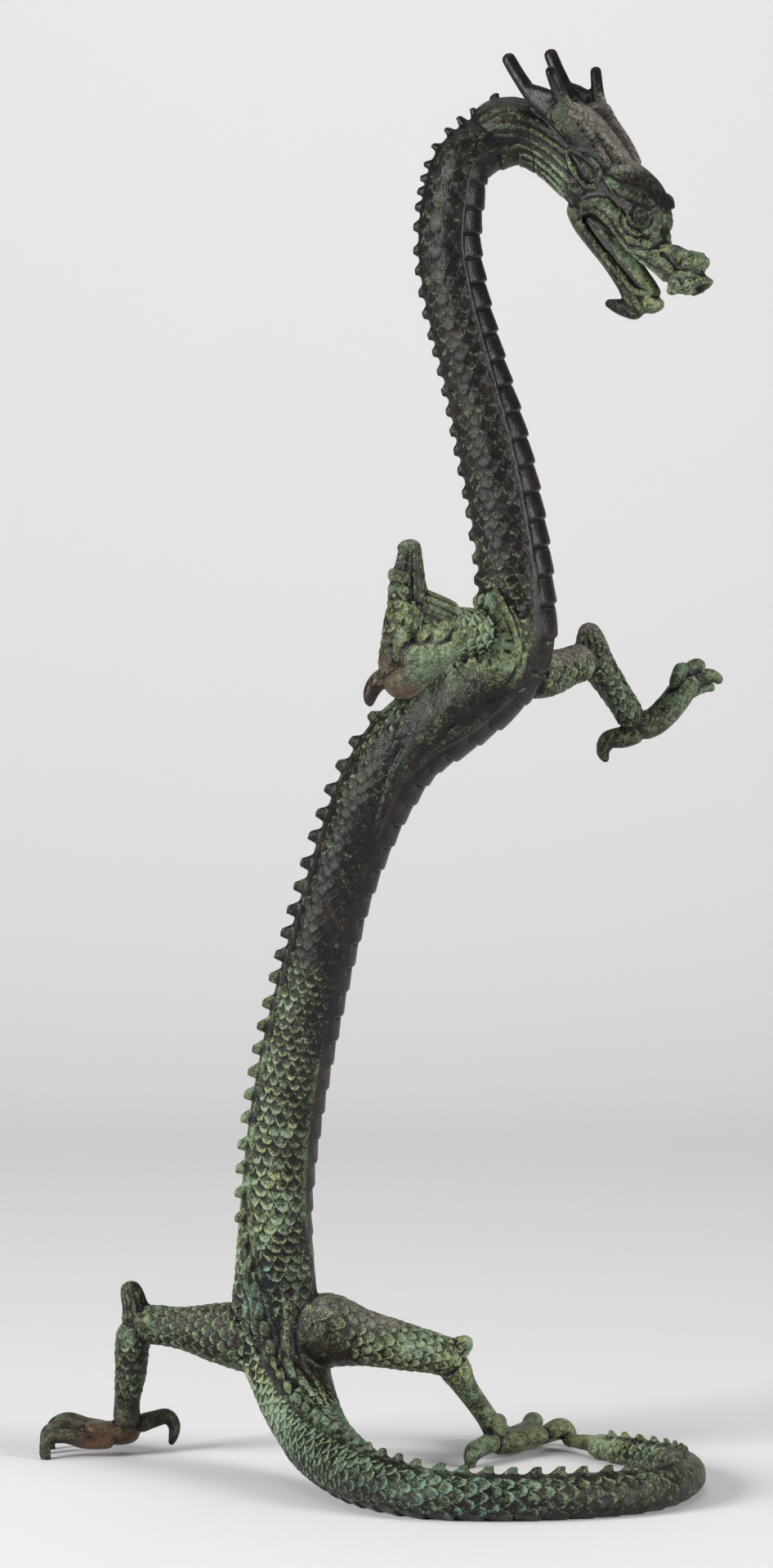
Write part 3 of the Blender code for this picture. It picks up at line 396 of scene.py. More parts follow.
# The head: skull, open jaws with the tongue, brows, eyes, ears, forked horns and a mane that
# lies over the neck like a collar. It is modelled level, facing +X, and then turned.
HEAD_PLACE = (75.0, -10.0, 459.2)
HEAD_YAW = math.radians(-33)
HEAD_PITCH = math.radians(29)
SKULL = [(-26, 0, 7, 8, 8), (-20, 0, 7, 9.2, 9.6), (-12, 0, 5.2, 9.6, 11.4), (0, 0, 4, 9.6, 12.2),
         (8, 0, 4, 9.2, 12.4), (15, 0, 3, 8.4, 11.6), (20, 0, 0.6, 7.6, 9.8),
         (24.5, 0, -3.6, 6.8, 6.6), (29, 0, -6.6, 6.2, 5.0), (36, 0, -6.6, 5.8, 5.2),
         (43, 0, -6, 5.6, 5.2), (48, 0, -5.6, 4.8, 4.6), (50.5, 0, -5, 3.4, 3.4)]
JAW = [(-8, 0, -5, 7, 5), (0, 0, -10.6, 7.4, 4.8), (8, 0, -14, 6.8, 4.4), (16, 0, -17, 6.2, 4.2),
       (25, 0, -21, 5.4, 4.4), (32, 0, -24.6, 4.8, 4.6), (37, 0, -24, 3.4, 4)]
TONGUE = [(0, 0, -7.6, 6.4, 4), (10, 0, -10.4, 6.2, 4), (20, 0, -14, 5.2, 3.6),
          (28, 0, -16.8, 4.2, 3), (34, 0, -18.8, 3.6, 2.6), (38, 0, -20, 2.6, 1.8)]
BEARD = [(35, 0, -27, 3.6, 3.6), (30, 0, -28.8, 3.2, 3.6), (25, 0, -30.4, 2.4, 2.7),
         (19.6, 0, -31.6, 1, 1.1)]
CHIN = [(33, 0, -24, 4.4, 4), (37.4, 0, -23, 4, 3.4), (39.6, 0, -21, 3, 2.2), (40, 0, -20, 1.6, 1.2)]
PALATE = [(40, 0, -9.6, 5, 3), (45, 0, -12, 6.6, 3), (49, 0, -10.4, 5.6, 2.6)]
NOSE = [(39, 0, -4, 4.4, 3), (44.6, 0, -2.6, 5.2, 3.6), (49, 0, -3.4, 4.4, 3.2)]
HORN_ROOT = [(3, 8, 11, 1.8, 2.4), (-4, 8.6, 13.8, 2.6, 4), (-12, 9.6, 17, 3.4, 5.2),
             (-20, 10.6, 19.4, 3.8, 5.2), (-27, 11.2, 19.8, 3.4, 4)]
HORN_REAR = [(-20, 10.6, 18.6, 3, 3.4), (-32, 11.2, 19.4, 2.7, 3), (-43, 12.2, 24, 2.5, 2.6),
             (-51.6, 13, 28.8, 2.5, 2.5)]
HORN_FRONT = [(-17, 10.6, 20, 2.6, 3.6), (-24, 12.2, 25.4, 2.2, 2.6), (-30, 14.2, 31, 2.1, 2.1),
              (-32.4, 15, 33.6, 2, 2)]
HORN_WEB = [(-40, 12, 21.4, 1.6, 2), (-33, 12.2, 22.4, 1.6, 3), (-26, 12, 23.4, 1.6, 3)]
FAR_HORN_LIFT = 2.2
FOREHEAD = [(7, 0, 12.4, 6, 3), (-4, 0, 16.4, 7.6, 3.2), (-13, 0, 19.4, 8.8, 3.2), (-21, 0, 21.6, 9.4, 2.8),
            (-27, 0, 22, 8.4, 2)]
CREST = [(6, 5.6, 14.6, 1.6, 2), (-4, 7.4, 18.6, 1.8, 3), (-13, 9, 21.2, 2, 3.4),
         (-21, 11, 24, 2, 3.4)]
BROW = [(1, 8, 9.6, 1.4, 1.6), (8, 9.2, 7.8, 1.9, 1.9), (15, 9, 8.2, 2.3, 2.2),
        (21, 7.4, 9.2, 2.4, 2.4), (24.6, 4.6, 8, 1.7, 1.8)]
CHEEK = [(-2, 7.4, -4.6, 3, 3.4), (8, 8, -0.8, 3, 4), (18, 7.4, -3.4, 2.6, 3.8), (27, 6.6, -6.2, 2.2, 3.4),
         (36, 6, -7.8, 1.8, 3), (43, 5.6, -8.6, 1.4, 2.4)]
LIP_ROLL = [(-1, 8, -8, 1.4, 1.4), (4.4, 8.2, -4.2, 1.3, 1.3), (12.6, 8, -4.8, 1.3, 1.3),
            (20.4, 7.4, -8, 1.3, 1.3), (27, 6.8, -9.8, 1.2, 1.2), (35.6, 6.2, -10.8, 1.2, 1.2),
            (42, 6.2, -11.8, 1.4, 1.4)]
JAW_RIM = [(0, 7.4, -9.6, 1.4, 1.6), (7, 6.8, -12.8, 1.3, 1.4), (14, 6.2, -15.6, 1.3, 1.3),
           (22, 5.4, -18.6, 1.2, 1.2), (30, 4.4, -21.2, 1.2, 1.2), (36.6, 2.6, -20.6, 1.2, 1.2)]
NOSTRIL = [(39, 4.2, -3.4, 2.2, 2.2), (44.6, 4.4, -2.4, 2.8, 3.2), (48.4, 3.2, -2.6, 2.4, 2.8)]
EAR_UPPER = [(-14.4, 10.6, 10.6, 0.9, 0.9), (-8, 11.4, 11.6, 1.1, 1.1), (-2, 11.4, 11, 1.1, 1.1),
             (1.6, 10.2, 9, 1.1, 1.1), (2.4, 9, 6.4, 1.2, 1.2)]
EAR_LOWER = [(-14.4, 10.6, 10.2, 0.9, 0.9), (-9.6, 11, 6.4, 1.1, 1.1), (-5, 11, 3.8, 1.1, 1.1),
             (-0.6, 10.2, 2.8, 1.1, 1.1), (2.4, 9, 5, 1.2, 1.2)]
EAR_BACK = [(-14, 9, 9.6, 1.6, 2.4), (-5, 9.2, 7.4, 2, 4.4), (0, 8.6, 6.4, 1.8, 3)]
KNOT = [(-8, 8, -2, 2.6, 2.8), (-3.6, 8.6, -0.6, 2.6, 2.8), (0, 8.2, 0, 2, 2.2)]
EYE = (22, 7.8, 3.2)
EYE_BALL = 2.7
LID_RADIUS = 4.1
LIP_FLUTES = 25
MANE_STRANDS = 22


def both_sides(wax, rows, **settings):
    """A roll on the left of the head, and its twin on the right."""
    roll(wax, rows, **settings)
    roll(wax, [(row[0], -row[1]) + tuple(row[2:]) for row in rows], **settings)


def eyes(wax):
    """A ball in a ring of lids, on each side of the head."""
    for side in (1, -1):
        ahead, left, up = EYE
        bm = bmesh.new()
        bmesh.ops.create_uvsphere(bm, u_segments=14, v_segments=10, radius=EYE_BALL * MM,
                                  matrix=Matrix.Translation(Vector((ahead, side * (left - 1.1), up)) * MM))
        lay(wax, bm)
        lids = []
        for number in range(13):
            turn = 2 * math.pi * number / 12
            lids.append((ahead + LID_RADIUS * math.cos(turn), side * (left - 1.5 * math.cos(turn)),
                         up + LID_RADIUS * 0.92 * math.sin(turn), 0.8, 0.8))
        roll(wax, lids, back=(0, 1, 0), sides=8, step=0.8)


def upper_lip(wax):
    """The flared lip: flutes side by side from under the nose to a rim that arches in front."""
    for number in range(LIP_FLUTES):
        turn = -1.0 + 2.0 * number / (LIP_FLUTES - 1)
        wide = math.sin(turn * math.pi / 2)
        front = math.cos(turn * math.pi / 2)
        root = (41.6 + 5 * front, 5 * wide, -7.8 + 3.4 * front, 2.2, 2.0)
        middle = (44 + 7 * front, 6.2 * wide, -12.4 + 7 * front ** 1.4, 1.7, 1.1)
        rim = (45.6 + 9 * front, 7.6 * wide, -15.6 + 10.4 * front ** 1.4, 1.4, 0.9)
        roll(wax, [root, middle, rim], sides=8, step=0.8)


def mane(wax):
    """Locks that sweep from behind the ears over the collar of the neck."""
    cowl = [(-2, 0, 0.6, 9.8, 9.4), (-12, 0, 3.4, 10, 9.8), (-24, -1.4, 5.6, 10.2, 9.6),
            (-35, -4.4, 5.6, 10.8, 9.8), (-44, -9.6, 2.6, 11.4, 10.4), (-50, -15.4, -2, 11.6, 10.8)]

    def locks(angle, along):
        wave = abs(math.cos(MANE_STRANDS * angle * 0.5 + along * 0.02))
        behind = smooth_step(6, 14, along) * (1 - smooth_step(38, 50, along))
        shoulder = 2.8 * behind * max(0.0, math.sin(2 * abs(angle))) ** 2
        ends = smooth_step(40, 56, along + 5 * math.cos(3 * angle))
        return 1.3 * wave * (1 - ends * 1.2) - 0.2 + shoulder

    roll(wax, cowl, sides=96, step=1.0, outline=locks)
    roll(wax, [(-49, -6, 9, 2.2, 2), (-53, -5, 11.4, 1.7, 1.6), (-52.4, -3.6, 13.6, 0.9, 0.9)])


def boxy(angle, along):
    """Squares off a round section."""
    return 1.5 * math.sin(2 * angle) ** 2


def horns(wax):
    """A forked horn over each brow; the left one stands a little higher."""
    for side in (1, -1):
        lift = FAR_HORN_LIFT if side > 0 else 0.0
        for rows in (HORN_ROOT, HORN_REAR, HORN_FRONT, HORN_WEB, CREST):
            raised = []
            for ahead, left, up, wide, deep in rows:
                raised.append((ahead, side * left, up + lift * max(0.0, -0.4 - ahead / 25), wide, deep))
            roll(wax, raised, step=1.0)


def head_turn():
    """How the head is turned: towards the viewer, and nose down."""
    return Matrix.Rotation(HEAD_YAW, 4, "Z") @ Matrix.Rotation(HEAD_PITCH, 4, "Y")


def head(wax):
    """Skull, jaws, brows, eyes, ears, horns and mane, modelled level and then turned."""
    forms = []
    roll(forms, SKULL, sides=24, step=1.0, outline=boxy)
    roll(forms, JAW, sides=16, step=1.0)
    for rows in (TONGUE, BEARD, CHIN, PALATE, NOSE, FOREHEAD):
        roll(forms, rows, step=1.0)
    for rows in (BROW, CHEEK, LIP_ROLL, JAW_RIM, NOSTRIL, EAR_UPPER, EAR_LOWER, EAR_BACK, KNOT):
        both_sides(forms, rows, step=1.0)
    horns(forms)
    eyes(forms)
    upper_lip(forms)
    mane(forms)
    for form in forms:
        form.transform(Matrix.Translation(Vector(HEAD_PLACE) * MM) @ head_turn())
    wax.extend(forms)


head(wax)

# One casting: body, limbs and head are worked into one skin, as wax is before it is cast in
# bronze, and the seams between the rolls are softened.
SKIN_GRAIN = 0.6
NEAR_BLOCK = 20000
bm = bmesh.new()
for mesh in wax:
    bm.from_mesh(mesh)
    bpy.data.meshes.remove(mesh)
rolls = bpy.data.meshes.new("rolls")
bm.to_mesh(rolls)
bm.free()
casting = bpy.data.objects.new("dragon_bronze", rolls)
bpy.context.scene.collection.objects.link(casting)


def set_in_mesh(modifiers):
    """Work the modifiers into the casting's mesh."""
    for kind, settings in modifiers:
        modifier = casting.modifiers.new(kind.lower(), kind)
        for name, value in settings.items():
            setattr(modifier, name, value)
    graph = bpy.context.evaluated_depsgraph_get()
    worked = bpy.data.meshes.new_from_object(casting.evaluated_get(graph))
    casting.modifiers.clear()
    casting.data = worked
    return worked


skin = set_in_mesh([("REMESH", {"mode": "VOXEL", "voxel_size": SKIN_GRAIN * MM}),
                    ("SMOOTH", {"factor": 0.5, "iterations": 2})])


def places(mesh):
    """The corners' places in millimetres."""
    flat = np.empty(len(mesh.vertices) * 3, dtype=np.float32)
    mesh.vertices.foreach_get("co", flat)
    return flat.reshape(-1, 3).astype(float) / MM


def outward(mesh):
    """The way the skin faces at each corner."""
    flat = np.empty(len(mesh.vertices) * 3, dtype=np.float32)
    mesh.vertices.foreach_get("normal", flat)
    return flat.reshape(-1, 3).astype(float)


def on_roll(points, rows, back=(0, 0, 1)):
    """Where points lie on a roll: length along it, angle from its back, reach and height over it."""
    rows = [tuple(row) + (tuple(back) if len(row) == 5 else ()) for row in rows]
    path, length = smooth_rows(rows, 1.0)
    ahead, side, up = frames(path)
    near = np.empty(len(points), dtype=int)
    for start in range(0, len(points), NEAR_BLOCK):
        block = points[start:start + NEAR_BLOCK]
        far = (path[:, :3] ** 2).sum(axis=1)[None] - 2 * block @ path[:, :3].T
        near[start:start + NEAR_BLOCK] = far.argmin(axis=1)
    offset = points - path[near, :3]
    past = (offset * ahead[near]).sum(axis=1)
    across = (offset * side[near]).sum(axis=1) / path[near, 3]
    deep = (offset * up[near]).sum(axis=1) / path[near, 4]
    girth = (path[near, 3] + path[near, 4]) / 2
    return length[near] + past, np.arctan2(across, deep), girth, (np.hypot(across, deep) - 1) * girth


# The scales, cut into the wax: rows of lapping shields, each over the next towards the tail
# or the paw, with a raised rim at the tip. They are broad at the nape, small and close down the
# trunk, and broad again on the tail: length along the body, then a scale's length and width.
SCALE_HEIGHT = 0.6
SCALE_SIZES = [
    (0, 4.4, 5.8), (60, 4.2, 5.6), (110, 4, 5.2), (200, 3.6, 4.8), (290, 3.2, 3.9), (400, 3.4, 4.2),
    (440, 4, 5.2), (490, 3.8, 5.4), (530, 3, 5.6), (600, 3.5, 5), (690, 4.4, 5.8), (850, 4.2, 5.6),
]
# The scaled rolls of the limbs, with how many scales go round and how far along they run
SCALED_LIMBS = [(RIGHT_THIGH, 13, 4, 62), (LEFT_THIGH, 13, 4, 60), (RIGHT_SHIN, 8, 0, 12),
                (LEFT_SHIN, 8, 0, 30), (RIGHT_ARM, 12, 4, 40), (RIGHT_FOREARM, 11, 0, 34),
                (LEFT_ARM, 11, 2, 40), (LEFT_FOREARM, 9, 0, 36)]
LIMB_ROW = 3.6
# Where the body's scales begin and end along it, and beside its band and belly
FIRST_SCALES = (44, 52)
LAST_SCALES = (818, 830)
BESIDE_BAND = (0.27, 0.38)
SIDE_EDGE = 1.72
# Between belly and thigh the skin is bare, about this place
GROIN = (-27, 26, 42)
GROIN_REACH = 13


def scale_height(rows, across):
    """How high the scales stand, from 0 to 1: the upper of two lapping rows at each point."""
    def shield(back):
        row = np.floor(rows) - back
        tip = rows - row
        aside = across - 0.5 * np.mod(row, 2)
        aside = aside - np.round(aside)
        return tip, aside, 1 + np.sqrt(np.maximum(0, 1 - 4 * aside ** 2))

    upper, lower = shield(1), shield(0)
    over = upper[0] < upper[2]
    along, aside, reach = (np.where(over, high, low) for high, low in zip(upper, lower))
    rim = np.exp(-((reach - along) / 0.26) ** 2)
    return 0.55 * (along / reach) ** 1.4 + 0.2 * (1 - 4 * aside ** 2) + 0.25 * rim


def wandering(points, size):
    """A slow, uneven drift from -1 to 1, so that no two rows are alike."""
    turned = points @ np.array([[0.8, 0.36, -0.48], [-0.6, 0.48, -0.64], [0, 0.8, 0.6]]) / size
    one, two, three = turned.T
    waves = np.sin(one + 1.3 * np.sin(two)) + np.sin(two * 1.7 + 1.1 * np.sin(three))
    return (waves + np.sin(three * 2.3 + one)) / 3


def scaled(points):
    """The scales' rows and places across, and how far the skin is scaled, for each point."""
    along, angle, girth, over = on_roll(points, BODY)
    turn = np.abs(angle)
    steps, pitches, widths = np.array(SCALE_SIZES).T
    fine = np.arange(steps[-1] + 1)
    rows_along = np.cumsum(1 / np.interp(fine, steps, pitches))
    edge = SIDE_EDGE + 0.5 * smooth_step(540, 570, along)
    share = smooth_step(*BESIDE_BAND, turn) * (1 - smooth_step(edge, edge + 0.1, turn))
    share = share * (1 - smooth_step(1.2, 2.2, np.abs(over))) * smooth_step(*FIRST_SCALES, along)
    share = share * (1 - smooth_step(*LAST_SCALES, along))
    drift = wandering(points, 5.0)
    rows = np.interp(along, fine, rows_along) + 0.22 * drift
    across = turn * girth / np.interp(along, steps, widths)
    across = across + 0.16 * wandering(points[:, [1, 2, 0]], 4.0)
    for roll_rows, around, first, last in SCALED_LIMBS:
        along, angle, girth, over = on_roll(points, roll_rows, LIMB_BACK)
        limb = (1 - smooth_step(1.4, 2.4, np.abs(over))) * smooth_step(first - 1, first + 3, along)
        limb = limb * (1 - smooth_step(last - 3, last + 1, along))
        taken = limb > share
        rows = np.where(taken, along / LIMB_ROW + 0.25 * drift, rows)
        across = np.where(taken, angle / (2 * math.pi) * around + 0.2 * drift, across)
        share = np.where(taken, limb, share)
    bare = np.exp(-((points - GROIN) ** 2).sum(axis=1) / GROIN_REACH ** 2)
    return rows, across, share * (1 - smooth_step(0.3, 0.6, bare))


spots = places(skin)
rows, across, share = scaled(spots)
relief = share * (scale_height(rows, across) - 0.4) * SCALE_HEIGHT
relief = relief * (1 + 0.3 * wandering(spots, 2.2))

# Grooves between the belly's plates, and on the neck along their edge too
GROOVE_WIDTH = 0.5
along, angle, girth, over = on_roll(spots, BODY)
turn = np.abs(angle)
first = plates_from(along)
on_body = 1 - smooth_step(1.4, 2.2, np.abs(over))
under = smooth_step(first - 0.03, first + 0.07, turn) * on_body
plate = np.abs(along / PLATE_PITCH - np.round(along / PLATE_PITCH)) * PLATE_PITCH
relief -= 0.5 * under * np.exp(-(plate / GROOVE_WIDTH) ** 2)
plate_edge = np.exp(-((turn - first) * girth / GROOVE_WIDTH) ** 2) * on_body
relief -= 0.3 * plate_edge * (1 - smooth_step(*NECK_FOOT, along)) * smooth_step(60, 75, along)

# Folds laid and grooves cut on the body: about the shoulder pad and under it, over the chest,
# at the hip and in the groin. Each has a width, a height or depth, and the line it follows.
BODY_LINES = [
    (0.8, 0.7, [(32.5, -3, 325.5), (36.5, -8.5, 323.5), (39.5, -13.5, 319), (42.5, -16, 312.5),
                (45, -17.5, 306.5), (46.5, -16.5, 300), (46, -15, 293.5)]),
    (0.7, -0.6, [(39, -11, 323), (42, -14, 317.5), (44.5, -16, 312), (46.5, -17, 305.5),
                 (48.5, -14, 300)]),
    (0.6, 0.6, [(18, -7.5, 290), (17.5, -9.5, 285), (16, -10.5, 280.5)]),
    (0.6, -0.6, [(23.5, -9, 295), (26, -13, 291.5), (28.5, -14.5, 289.5), (32.5, -15.5, 288.5)]),
    (0.5, 0.5, [(22, -13, 280.5), (29, -14, 280.5), (35.5, -14.5, 282.5), (42, -14.5, 287),
                (46, -14.5, 291)]),
    (0.7, 0.7, [(22.5, -10.5, 270.5), (29, -12, 276.5), (35.5, -13.5, 281), (42, -13, 282.5),
                (48.5, -8.5, 285.5), (55.5, 5.5, 288.5)]),
    (0.8, 0.7, [(-57, 39, 57.5), (-56.5, 35, 50), (-54.5, 35.5, 42.5)]),
    (0.5, 0.5, [(-55.5, 37, 61.5), (-52, 34.5, 54), (-49, 32, 47), (-46.5, 30, 41.5)]),
    (0.7, -0.7, [(-53.5, 36, 74), (-52.5, 34.5, 68.5), (-50.5, 33, 63), (-49.5, 33, 57)]),
    (0.8, 0.6, [(-48, 29.5, 74), (-46.5, 29, 66.5), (-45.5, 28, 59), (-44.5, 29, 50)]),
    (0.6, 0.5, [(-37.5, 28, 68), (-37, 28.5, 60), (-37, 27.5, 51), (-38.5, 26.5, 44),
                (-37, 21.5, 36.5), (-33.5, 12.5, 30)]),
    (0.6, 0.5, [(-35, 26.5, 48), (-32.5, 27, 44), (-31, 21.5, 39), (-31.5, 17, 33.5)]),
    (1.6, -1, [(-35.5, 28.5, 67), (-34.5, 28, 59), (-34, 27.5, 51), (-32.5, 25, 42), (-32, 18.5, 35)]),
    (0.7, 0.5, [(-28.5, 31.5, 62.5), (-30.5, 29.5, 58.5), (-31.5, 28.5, 53), (-31, 28.5, 46),
                (-28.5, 25, 39.5), (-23.5, 21, 34.5)]),
    (0.4, -0.5, [(-29.5, 27.5, 47.5), (-25, 28.5, 40), (-22, 23, 34), (-20, 12.5, 29)]),
    (0.4, -0.5, [(-30.5, 25.5, 40.5), (-26, 20.5, 35), (-22.5, 13, 30), (-19, -4.5, 25.5)]),
    (0.4, -0.5, [(-27, 25.5, 48), (-23, 28.5, 41.5), (-20.5, 29.5, 35.5), (-19, 24.5, 31.5)]),
    (0.4, -0.5, [(-30, 17.5, 35), (-25.5, 11.5, 30), (-20.5, 0.5, 26)]),
]
# How many flutes go round each tuft, and how deep they are combed
TUFT_FLUTES = (14, 16, 20, 12, 6, 16)
FLUTE_DEPTH = 0.34

# Lines cut and laid on the face, as the founder worked them in the wax with a knife, the same
# way: about the eye, along the lips, at the nostril and over the forehead.
FACE_LINES = [
    (0.8, 0.49, [(7.5, -11, 8), (11, -11.5, 8), (14.5, -11, 8), (18.5, -10.5, 8), (22, -9, 7.5),
                 (24.5, -7, 8.5)]),
    (0.8, -0.56, [(9.5, -11, 6.5), (12, -9, 5.5), (16.5, -8.5, 5), (20.5, -9, 5.5), (23.5, -8, 6.5),
                  (25, -5.5, 8)]),
    (0.6, 0.35, [(25.5, -7, 4.5), (25.5, -7.5, 2), (24, -8, 0), (21.5, -8.5, -0.5), (19.5, -9, 1.5),
                 (19, -8.5, 3.5), (21, -8.5, 6), (23.5, -8, 6), (25.5, -7, 4.5)]),
    (0.6, -0.35, [(26.5, -7, 4.5), (26.5, -6.5, 2), (25.5, -7, -0.5), (23, -8, -1.5), (20.5, -9, -1.5),
                  (19, -9.5, 0.5), (18.5, -9.5, 3.5), (20, -9.5, 6), (22, -8.5, 7),
                  (24.5, -7.5, 6.5)]),
    (0.7, 0.42, [(16.5, -9, 0.5), (18.5, -9.5, -1.5), (21, -9.5, -2.5), (24.5, -8.5, -2.5),
                 (26.5, -7, -1), (27.5, -6, 2), (27, -5.5, 4.5)]),
    (0.6, -0.42, [(16, -9.5, 0), (18, -10, -2.5), (21, -9.5, -4), (25, -8.5, -3.5), (27.5, -6.5, -1.5),
                  (28.5, -4.5, 1.5)]),
    (0.7, 0.35, [(13.5, -9, 2), (15.5, -10, -1), (18, -10, -4), (21.5, -9.5, -5.5), (25.5, -9, -5),
                 (28.5, -6.5, -2.5), (29.5, -4, 0.5)]),
    (1.2, -0.63, [(24.5, -8.5, -7.5), (27.5, -8.5, -6.5), (31, -8, -5), (32, -6, -3),
                  (32.5, -3, -1.5)]),
    (0.8, 0.35, [(23, -9, -7), (27, -8.5, -5), (30, -6.5, -3), (30.5, -2, -1)]),
    (0.9, 0.35, [(24, -8, -9), (28.5, -8.5, -8), (32.5, -8, -6), (34.5, -6, -3.5), (35, -2, -2)]),
    (0.7, -0.42, [(2, -10, -5), (5.5, -10.5, -2.5), (9.5, -10.5, -2), (13.5, -10, -3.5),
                  (18, -9.5, -6), (22.5, -8.5, -8), (27, -8, -9.5), (31.5, -7.5, -10), (36, -7.5, -10),
                  (40.5, -7, -9.5)]),
    (0.9, -0.77, [(43.5, -6.5, -5), (43.5, -7, -3), (44.5, -6.5, -1), (45.5, -5, 0.5)]),
    (0.8, 0.42, [(42.5, -7, -3.5), (43.5, -7, -1.5), (44.5, -5, 0.5)]),
    (0.8, -0.49, [(45.5, -6, -5.5), (48, -5, -4.5), (50, -2, -4), (50.5, 0, -4)]),
    (0.8, 0.35, [(39, -7, -10.5), (41.5, -7, -8.5), (44, -6, -7.5), (47, -6, -8), (48.5, -6.5, -8.5)]),
    (0.6, -0.42, [(40.5, -7.5, -11), (43, -6.5, -9.5), (46, -6.5, -9), (47.5, -7, -9.5)]),
    (0.7, 0.35, [(44, -7, -10.5), (46.5, -7, -10.5), (48, -8, -12)]),
    (0.5, -0.35, [(2, -7, -9), (8, -6.5, -11.5), (14, -6, -14)]),
    (0.5, -0.35, [(3.5, -6, -7.5), (9.5, -6, -10), (15.5, -5.5, -12.5)]),
    (0.5, -0.35, [(6, -6.5, -6.5), (11.5, -5, -9), (16.5, -5, -11)]),
    (0.6, -0.42, [(4.5, -8, -11.5), (10, -7.5, -13.5), (15, -7, -15.5), (19.5, -6.5, -16.5),
                  (24.5, -6, -19.5), (28.5, -5, -23)]),
    (0.6, -0.42, [(30.5, -5, -24.5), (32.5, -4.5, -26.5), (34.5, -2.5, -28)]),
    (0.6, -0.42, [(33.5, -4, -23), (36, -3.5, -25), (37, -1.5, -26.5)]),
    (0.5, -0.35, [(22.5, -1.5, -31.5), (26.5, -2, -30.5), (31, -3, -30)]),
    (0.8, 0.42, [(-22, -9, 24), (-22.6, 0, 23), (-22, 9, 24)]),
    (0.8, 0.35, [(-14, -8.5, 21.5), (-15.5, 0, 20.6), (-14, 8.5, 21.5)]),
    (0.7, 0.42, [(-30.5, -16.5, 31.5), (-22.5, -13.5, 26), (-13, -13, 20), (-6, -11.5, 16.5),
                 (1, -10, 13.5), (5, -9, 11.5)]),
    (0.9, -0.56, [(-11.5, -11.5, 9.5), (-8, -11, 8.5), (-4, -11, 6.5), (-1.5, -10, 5.5)]),
    (0.7, -0.42, [(2, -11, 8), (5, -9.5, 6), (8, -9, 4), (13, -9, 2)]),
    (0.8, -0.42, [(-9.5, -8.5, -4), (-7, -6, -7), (-2.5, -7, -8.5), (1.5, -8.5, -10)]),
]
# Between the upper lip's flutes, on each side of its middle
LIP_GROOVES = 10
for number in range(LIP_GROOVES):
    turn = math.radians(9 * number + 4)
    wide, front = -math.sin(turn), math.cos(turn)
    FACE_LINES.append((0.42, -0.7, [(43 + 6 * front, 5.6 * wide, -9.4 + 5 * front ** 1.4),
                                    (46 + 10 * front, 8.4 * wide, -15.4 + 10.4 * front ** 1.4)]))


def cut_lines(points, lines):
    """How high the folds and grooves stand at each point."""
    relief = np.zeros(len(points))
    for wide, high, line in lines:
        line = np.array(line, dtype=float)
        lowest = line.min(axis=0) - 3 * wide
        highest = line.max(axis=0) + 3 * wide
        near = np.flatnonzero(((points > lowest) & (points < highest)).all(axis=1))
        far = np.full(len(near), 9.0)
        for start, end in zip(line[:-1], line[1:]):
            run = end - start
            part = np.clip((points[near] - start) @ run / (run @ run), 0, 1)
            far = np.minimum(far, np.linalg.norm(points[near] - start - part[:, None] * run, axis=1))
        relief[near] += high * np.exp(-(far / wide) ** 2)
    return relief


facing = np.array(head_turn().to_3x3())
on_head = (spots - np.array(HEAD_PLACE)) @ facing
on_head[:, 1] = -np.abs(on_head[:, 1])
relief += cut_lines(on_head, FACE_LINES)
relief += cut_lines(spots, BODY_LINES)
for tuft, count in zip(TUFTS, TUFT_FLUTES):
    along, angle, girth, over = on_roll(spots, tuft, LIMB_BACK)
    on_tuft = (1 - smooth_step(0.5, 1.4, np.abs(over))) * smooth_step(0, 3, along)
    relief += FLUTE_DEPTH * on_tuft * (np.abs(np.cos(count / 2 * angle)) - 0.7)

spots = spots + outward(skin) * relief[:, None]
skin.vertices.foreach_set("co", (spots * MM).astype(np.float32).ravel())
skin.update()

# The finished mesh: thinned where it is smooth, cut off level where it bears on the ground, and
# brought over the origin as the solid is.
FINISHED = 196000
SOLE = 0.5
OVER_ORIGIN = (3.0703, -17.0198, -SOLE)
skin.calc_loop_triangles()
skin = set_in_mesh([("DECIMATE", {"ratio": FINISHED / len(skin.loop_triangles)})])
bm = bmesh.new()
bm.from_mesh(skin)
cut = bmesh.ops.bisect_plane(bm, geom=bm.verts[:] + bm.edges[:] + bm.faces[:], dist=0.02 * MM,
                             plane_co=(0, 0, SOLE * MM), plane_no=(0, 0, 1), clear_inner=True)
open_edges = [part for part in cut["geom_cut"] if isinstance(part, bmesh.types.BMEdge)]
bmesh.ops.holes_fill(bm, edges=open_edges)
bmesh.ops.triangulate(bm, faces=bm.faces[:])
bmesh.ops.translate(bm, verts=bm.verts[:], vec=Vector(OVER_ORIGIN) * MM)
bmesh.ops.recalc_face_normals(bm, faces=bm.faces[:])
bm.to_mesh(skin)
bm.free()
skin.validate()
skin.shade_smooth()

# What the patina and the painted shade follow, kept with the mesh: the scales' rows, hollows and worn
# edges, and how much of each colour has grown where. Old bronze is green where water stood, dusty on what
# faces up, and bright where hands and the floor rub it.
spots = places(skin) - np.array(OVER_ORIGIN)
normals = outward(skin)
joins = np.empty(len(skin.edges) * 2, dtype=np.int32)
skin.edges.foreach_get("vertices", joins)
joins = joins.reshape(-1, 2)
shared = np.bincount(joins.ravel(), minlength=len(spots))


def eased(values, times):
    """The mean of each corner's neighbours, taken over and over."""
    for turn in range(times):
        columns = []
        for column in values.T:
            there = np.bincount(joins[:, 0], column[joins[:, 1]], len(column))
            back = np.bincount(joins[:, 1], column[joins[:, 0]], len(column))
            columns.append((there + back) / shared)
        values = np.column_stack(columns)
    return values


